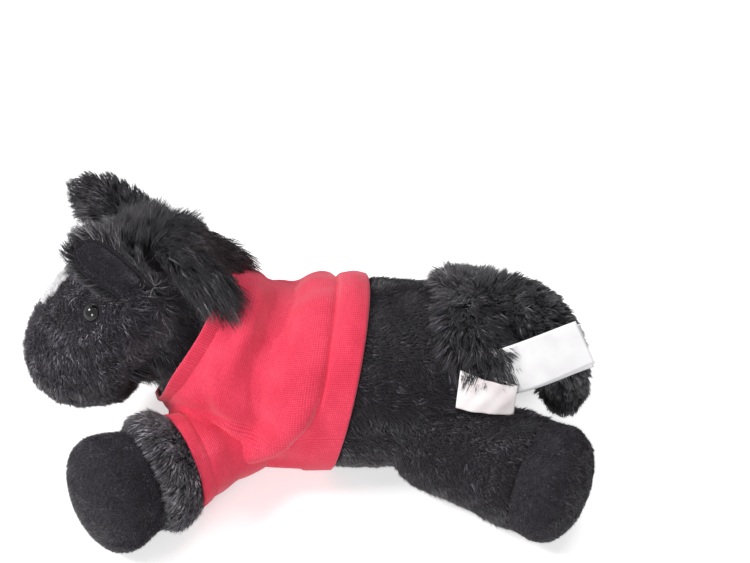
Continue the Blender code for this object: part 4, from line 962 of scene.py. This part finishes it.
# rows in mm from the hem, closest at its fold; 14 mm are turned up inside
fixedRows = np.concatenate(((-14, -11, -8, -5, -3, -2, -1.4, -0.9, -0.4, 0, 0.4, 0.9, 1.4, 2.0), np.arange(3, 17, 1.0)))
rowIndex = np.clip(np.round(rowShare * shirt["rows"]).astype(int), 0, shirt["rows"])
rest = shirt["rows"] + 1 - len(fixedRows)
down = np.where(rowIndex < len(fixedRows), fixedRows[np.minimum(rowIndex, len(fixedRows) - 1)],
                17 + (reach - 17) * (rowIndex - len(fixedRows)) / (rest - 1))
folded = np.sqrt(down ** 2 + 0.25) - 0.5
past = down - np.interp(degrees, *zip(*shirt["crease"]))
# the fabric hangs over the crease on both sides, but not at the belly
offRight, offLeft = smoothStep(-85, -60, degrees), smoothStep(265, 240, degrees)
sideBulge = sum((more * hump(degrees, place, shirt["sideSpread"]) for place, more in shirt["sides"]), shirt["overhang"])
sideBulge *= offRight * offLeft
bulge = sideBulge * hump(past, 8, 8.5)
offset = shirt["inner"] + (shirt["outer"] - shirt["inner"]) * smoothStep(-1.0, 1.0, down)
offset += (shirt["loose"] - shirt["outer"]) * smoothStep(14.5, 16.5, down)
offset += 2.6 * hump(down, 7, 6) * hump(degrees, 90, 45) * smoothStep(-0.5, 1.5, down)
outside = np.where(down > 0, 1.0, 0.0)
offset += outside * (bulge - shirt["creaseDepth"] * hump(past, 0, 1.9) * offRight * offLeft)
fieldX = np.radians(degrees) * shirt["chartRadius"]
for x0, y0, x1, y1, height, half in shirt["folds"]:
    fold = ridge(fieldX, down, math.radians(x0) * shirt["chartRadius"], y0, math.radians(x1) * shirt["chartRadius"], y1, half)
    offset += outside * height * fold * smoothStep(16, 24, down)
calm = smoothStep(reach, reach - 12, down)
flatPoints = np.stack((fieldX, down, np.zeros(len(down))), axis=1)
offset += outside * softNoise(flatPoints, shirt["crumple"], shirt["seed"]) * calm * smoothStep(14, 22, down)
shifted = folded - outside * 0.45 * sideBulge * hump(past, 4, 4.5)
shareAt = np.array([np.interp(s, runs[c], runShares[c]) for s, c in zip(shifted, column)])
base = surfaceAt(bodyForm, shareAt, turn)
tinyStep = 0.002
alongWay = surfaceAt(bodyForm, shareAt + tinyStep, turn) - surfaceAt(bodyForm, shareAt - tinyStep, turn)
roundWay = surfaceAt(bodyForm, shareAt, turn + tinyStep) - surfaceAt(bodyForm, shareAt, turn - tinyStep)
out = unit(np.cross(roundWay, alongWay))
centreLine = sum(surfaceAt(bodyForm, shareAt, np.full(len(turn), edge)) * 0.5 for edge in (0, math.pi))
out *= np.sign(np.sum(out * (base - centreLine), axis=1))[:, None]
frontLegs = (legs["frontLeft"], legs["frontRight"])
for leg in frontLegs:
    along, away = fromAxis(leg, base)
    gap = np.linalg.norm(away, axis=1) - sleeveRadius(leg, along)
    sewn = sum(height * hump(gap, middle, half) for height, middle, half in shirt["armhole"])
    offset += outside * np.where(along > 0, sewn, 0)
offset = np.maximum(offset, shirt["closest"])
points = laidOut(base, (offset, out))
points[:, 2] = np.maximum(points[:, 2], shirt["lowest"] + 0.25 * np.minimum(offset, 3) / 3)
clothChart(shirtBody, fieldX, down)
writePoints(shirtBody.data, points * mm)
openHoles = np.zeros(len(points), dtype=bool)
for leg in frontLegs:
    along, away = fromAxis(leg, points)
    distance = np.linalg.norm(away, axis=1)
    # more cloth is left behind and under the leg, for when it swings forward
    behind = np.clip(np.maximum(away[:, 1], -away[:, 2]) / np.maximum(distance, 0.1), 0, 1)
    openHoles |= (along > 6) & (distance < sleeveRadius(leg, along) - 5 - 15 * behind)
dropPoints(shirtBody, openHoles)
tidyFaces(shirtBody, weld)
applyModifier(shirtBody, "SOLIDIFY", thickness=shirt["cloth"] * mm, offset=0.0)
printArea(shirtBody)
settle(shirtBody, "torso", jersey, ["shirt_body"])

band = {"width": 8.0, "thick": 2.8, "ribs": 170, "rib": 0.16, "flare": 1.2, "chartRadius": 39}
neckband, ring = startPiece("neckband", bpy.ops.mesh.primitive_torus_add,
                            major_segments=680, minor_segments=16, major_radius=1, minor_radius=0.5)
ringTurn = np.arctan2(ring[:, 1], ring[:, 0])
cross = np.arctan2(ring[:, 2], np.hypot(ring[:, 0], ring[:, 1]) - 1)
squareX, squareZ = (np.sign(x) * np.abs(x) ** 0.6 for x in (np.cos(cross), np.sin(cross)))
forward, up = lean(collar["lean"])
slack = hump(np.degrees(ringTurn), -90, 35)
radius = (collar["radius"] - 1.5 + squareX * band["thick"] / 2 + band["flare"] * (squareZ + 1) / 2
          + 0.5 * slack * (squareZ + 1))
radius += band["rib"] * np.cos(ringTurn * band["ribs"]) * squareX
high = (squareZ + 1) / 2 * band["width"] * (1 - 0.35 * slack) - 1.0
wobble = 0.8 * np.sin(ringTurn * 3 + 0.7) + 0.5 * np.sin(ringTurn * 5 + 2) - slack * 1.6 * np.abs(np.sin(ringTurn * 5))
points = laidOut(collar["centre"], (radius * np.cos(ringTurn), sideways), (radius * np.sin(ringTurn), up),
                 (high + wobble, forward))
clothChart(neckband, ringTurn * band["chartRadius"], high)
writePoints(neckband.data, points * mm)
tidyFaces(neckband)
settle(neckband, "torso", ribbing, ["shirt_collar"])
printArea(neckband)

sleeve = {"start": -12, "end": 35, "hem": 7, "chartRadius": 24}
for side in ("left", "right"):
    name = "front" + side.capitalize()
    leg = legs[name]
    root, way, body = leg["root"], leg["way"], leg["body"]
    across = np.cross(way, upwards)
    piece, roundShare, rowShare = tubeGrid(f"{side}Sleeve", 124, 52)
    turn = roundShare * 2 * math.pi - math.pi / 2
    total = sleeve["end"] - sleeve["start"] + sleeve["hem"]
    down = rowShare * total + sleeve["start"]
    past = down - sleeve["end"]
    along = sleeve["end"] - (np.sqrt(past ** 2 + 0.2) - 0.45)
    radius = sleeveRadius(leg, along) - 1.6 * smoothStep(-0.9, 0.9, past)
    # inside the shirt it follows the round end of the leg
    radius -= leg["ball"] - np.sqrt(leg["ball"] ** 2 - np.minimum(along, 0) ** 2)
    outer = smoothStep(0.5, -0.5, past)
    stitching = sleeve["end"] - sleeve["hem"]
    radius += outer * (0.35 * smoothStep(stitching - 0.6, stitching + 0.6, along) - 0.7 * hump(along, stitching, 0.8))
    chart = np.stack((turn * sleeve["chartRadius"], along, np.zeros(len(turn))), axis=1)
    radius += outer * 0.8 * softNoise(chart, 20, 17) * smoothStep(2, 18, along)
    points = laidOut(root, (along, way), (radius * np.cos(turn), across), (radius * np.sin(turn), upwards))
    points[:, 2] = np.maximum(points[:, 2], 0.5)
    clothChart(piece, chart[:, 0], down)
    writePoints(piece.data, points * mm)
    tidyFaces(piece, weld)
    applyModifier(piece, "SOLIDIFY", thickness=shirt["cloth"] * mm, offset=0.0)
    settle(piece, None, jersey, [f"sleeve_{side}"])
    printArea(piece)
    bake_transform(piece)
print("shirt done")


def sewLabel(piece, chart, points, material, node):
    clothChart(piece, *chart)
    writePoints(piece.data, points * mm)
    applyModifier(piece, "SOLIDIFY", thickness=0.25 * mm, offset=0.0)
    tidyFaces(piece)
    settle(piece, "torso", material, [node])
    printArea(piece)


careLabel = {"wide": 25, "leaf": 52, "rise": 24, "fan": 6, "start": (33.0, 88.0, 66.5), "tilt": 12, "wave": 1.5, "gap": 0.5}
piece, u, v = tubeGrid("careLabel", 16, 100)
bend = 2 * v - 1
which = np.tanh(bend * 25)
outward = careLabel["leaf"] * (np.sqrt(bend ** 2 + 0.0001) - 0.01)
angle = np.radians(careLabel["rise"] - careLabel["fan"] / 2 * which)
across = (u - 0.5) * careLabel["wide"]
tilted = math.radians(careLabel["tilt"])
sheetWay = np.stack((np.zeros(len(angle)), np.cos(angle), np.sin(angle)), axis=1)
sheetUp = np.stack((np.full(len(angle), -math.sin(tilted)), -np.sin(angle) * math.cos(tilted),
                    np.cos(angle) * math.cos(tilted)), axis=1)
lift = (careLabel["wave"] * np.sin(outward / careLabel["leaf"] * 4.4) + 0.6 * np.sin(u * 3 + outward * 0.09)
        - which * (careLabel["gap"] + outward * 0.03))
points = laidOut(careLabel["start"], (outward, sheetWay), (across, sheetUp), (lift + outward * 0.05, sideways))
sewLabel(piece, (across, bend * careLabel["leaf"]), points, satin, "care_label")

sideLabel = {"wide": 17, "leaf": 31, "centre": (43.0, 88.0, 63.5), "loop": 2.0, "tilt": 20, "rise": -14}
piece, u, v = tubeGrid("sideLabel", 20, 90)
bend = (2 * v - 1) * 0.96
onward = sideLabel["leaf"] * (0.5 - np.sqrt(bend ** 2 + 0.0006))
loop = sideLabel["loop"] * np.sin(np.abs(bend) * math.pi) ** 0.8 * np.sign(bend)
across = (u - 0.5) * sideLabel["wide"] * (1 - 0.12 * np.cos(bend * 3))
crumple = softNoise(np.stack((across, onward, bend * 5), axis=1), 12, 29) * 0.45
rise, tilted = math.radians(sideLabel["rise"]), math.radians(sideLabel["tilt"])
sheetWay = np.array((0, math.cos(rise), math.sin(rise)))
sheetUp = np.array((-math.sin(tilted), 0.1, math.cos(tilted)))
points = laidOut(sideLabel["centre"], (onward, sheetWay), (across, sheetUp), (loop + crumple, sideways))
sewLabel(piece, (across, bend * sideLabel["leaf"]), points, pinkSatin, "side_label")
print("labels done")


def softCopy(node, name, body, material):
    # a lumpy filling in the room that the CAD keeps for it
    piece = linkPiece(name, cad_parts[node].data.copy())
    tidyFaces(piece, weld)
    applyModifier(piece, "REMESH", mode="VOXEL", voxel_size=2.2 * mm)
    applyModifier(piece, "SMOOTH", factor=0.5, iterations=6)
    points, normals = readPoints(piece.data), readNormals(piece.data)
    writePoints(piece.data, points + normals * (0.5 * softNoise(points, 12 * mm, 5) - 0.5)[:, None] * mm)
    tidyFaces(piece)
    settle(piece, body, material, [node])


softCopy("torso_stuffing", "torsoFilling", "torso", fibrefill)
softCopy("pellet_bag", "pelletBag", "torso", pelletCloth)
softCopy("neck_stuffing", "neckFilling", "neck", fibrefill)
softCopy("head_stuffing", "headFilling", "head", fibrefill)
for name, leg in legs.items():
    softCopy(leg["nodes"][2], name + "Filling", leg["body"], fibrefill)
print("fillings done")


def seenDirectly(tree):
    # 1 for camera, glossy and transmission rays
    rays = addNode(tree, "ShaderNodeLightPath").outputs
    mirrored = mathNode(tree, "MAXIMUM", rays["Is Glossy Ray"], rays["Is Transmission Ray"])
    return mathNode(tree, "MAXIMUM", rays["Is Camera Ray"], mirrored)


floor, _ = startPiece("paleFloor", bpy.ops.mesh.primitive_plane_add, size=3)
# uncoated white paper
material, tree, surface = newMaterial("paleFloorPaper")
setSockets(surface, {"Base Color": hexColour("#F4F4F4"), "Roughness": 0.95, "Specular IOR Level": 0.1})
# the far floor is out of the lamps' reach, so the paper is drawn paler there
place = addNode(tree, "ShaderNodeTexCoord")
far = addNode(tree, "ShaderNodeVectorMath", {"operation": "LENGTH"}, {0: place.outputs["Object"]})
paler = addNode(tree, "ShaderNodeMapRange", {"From Min": 0.35, "From Max": 1.2, "To Min": 0.56, "To Max": 0.82},
                {"Value": far.outputs["Value"]})
strength = mathNode(tree, "MULTIPLY", seenDirectly(tree), paler.outputs[0])
glow = addNode(tree, "ShaderNodeEmission", links={"Strength": strength})
both = addNode(tree, "ShaderNodeAddShader", links={0: surface.outputs[0], 1: glow.outputs[0]})
tree.links.new(both.outputs[0], tree.nodes["Material Output"].inputs["Surface"])
dress(floor, material)

world = bpy.data.worlds.new("whiteRoom")
scene.world = world
world.use_nodes = True
tree = world.node_tree
level = addNode(tree, "ShaderNodeMapRange", {"To Min": 0.21, "To Max": 1.0}, {"Value": seenDirectly(tree)})
tree.nodes["Background"].inputs["Color"].default_value = (1, 1, 1, 1)
tree.links.new(level.outputs[0], tree.nodes["Background"].inputs["Strength"])


def softbox(name, place, size, power):
    # a square lamp that faces the horse
    lamp = bpy.data.lights.new(name, "AREA")
    lamp.shape, lamp.size, lamp.size_y, lamp.energy = "RECTANGLE", size, size, power
    holder = linkPiece(name, lamp)
    holder.location = place
    holder.rotation_euler = (Vector((0, 0, 0.05)) - Vector(place)).to_track_quat("-Z", "Y").to_euler()


softbox("keySoftbox", (0.3, -0.95, 1.05), 0.34, 10.8)
softbox("topSoftbox", (-0.35, 0.35, 1.3), 0.8, 8)
softbox("fillSoftbox", (1.15, -0.35, 0.45), 0.38, 7)

cameraData = bpy.data.cameras.new("photoCamera")
cameraData.lens, cameraData.sensor_width, cameraData.sensor_fit = 45.6, 36, "HORIZONTAL"
cameraData.clip_start = 0.01
camera = linkPiece("photoCamera", cameraData)
camera.location = (0.39795, 0.03423, 0.35917)
tilt = math.radians(33)
camera.rotation_euler = Vector((-math.cos(tilt), 0, -math.sin(tilt))).to_track_quat("-Z", "Y").to_euler()
scene.camera = camera
scene.view_settings.view_transform = "Standard"
print("stage done")
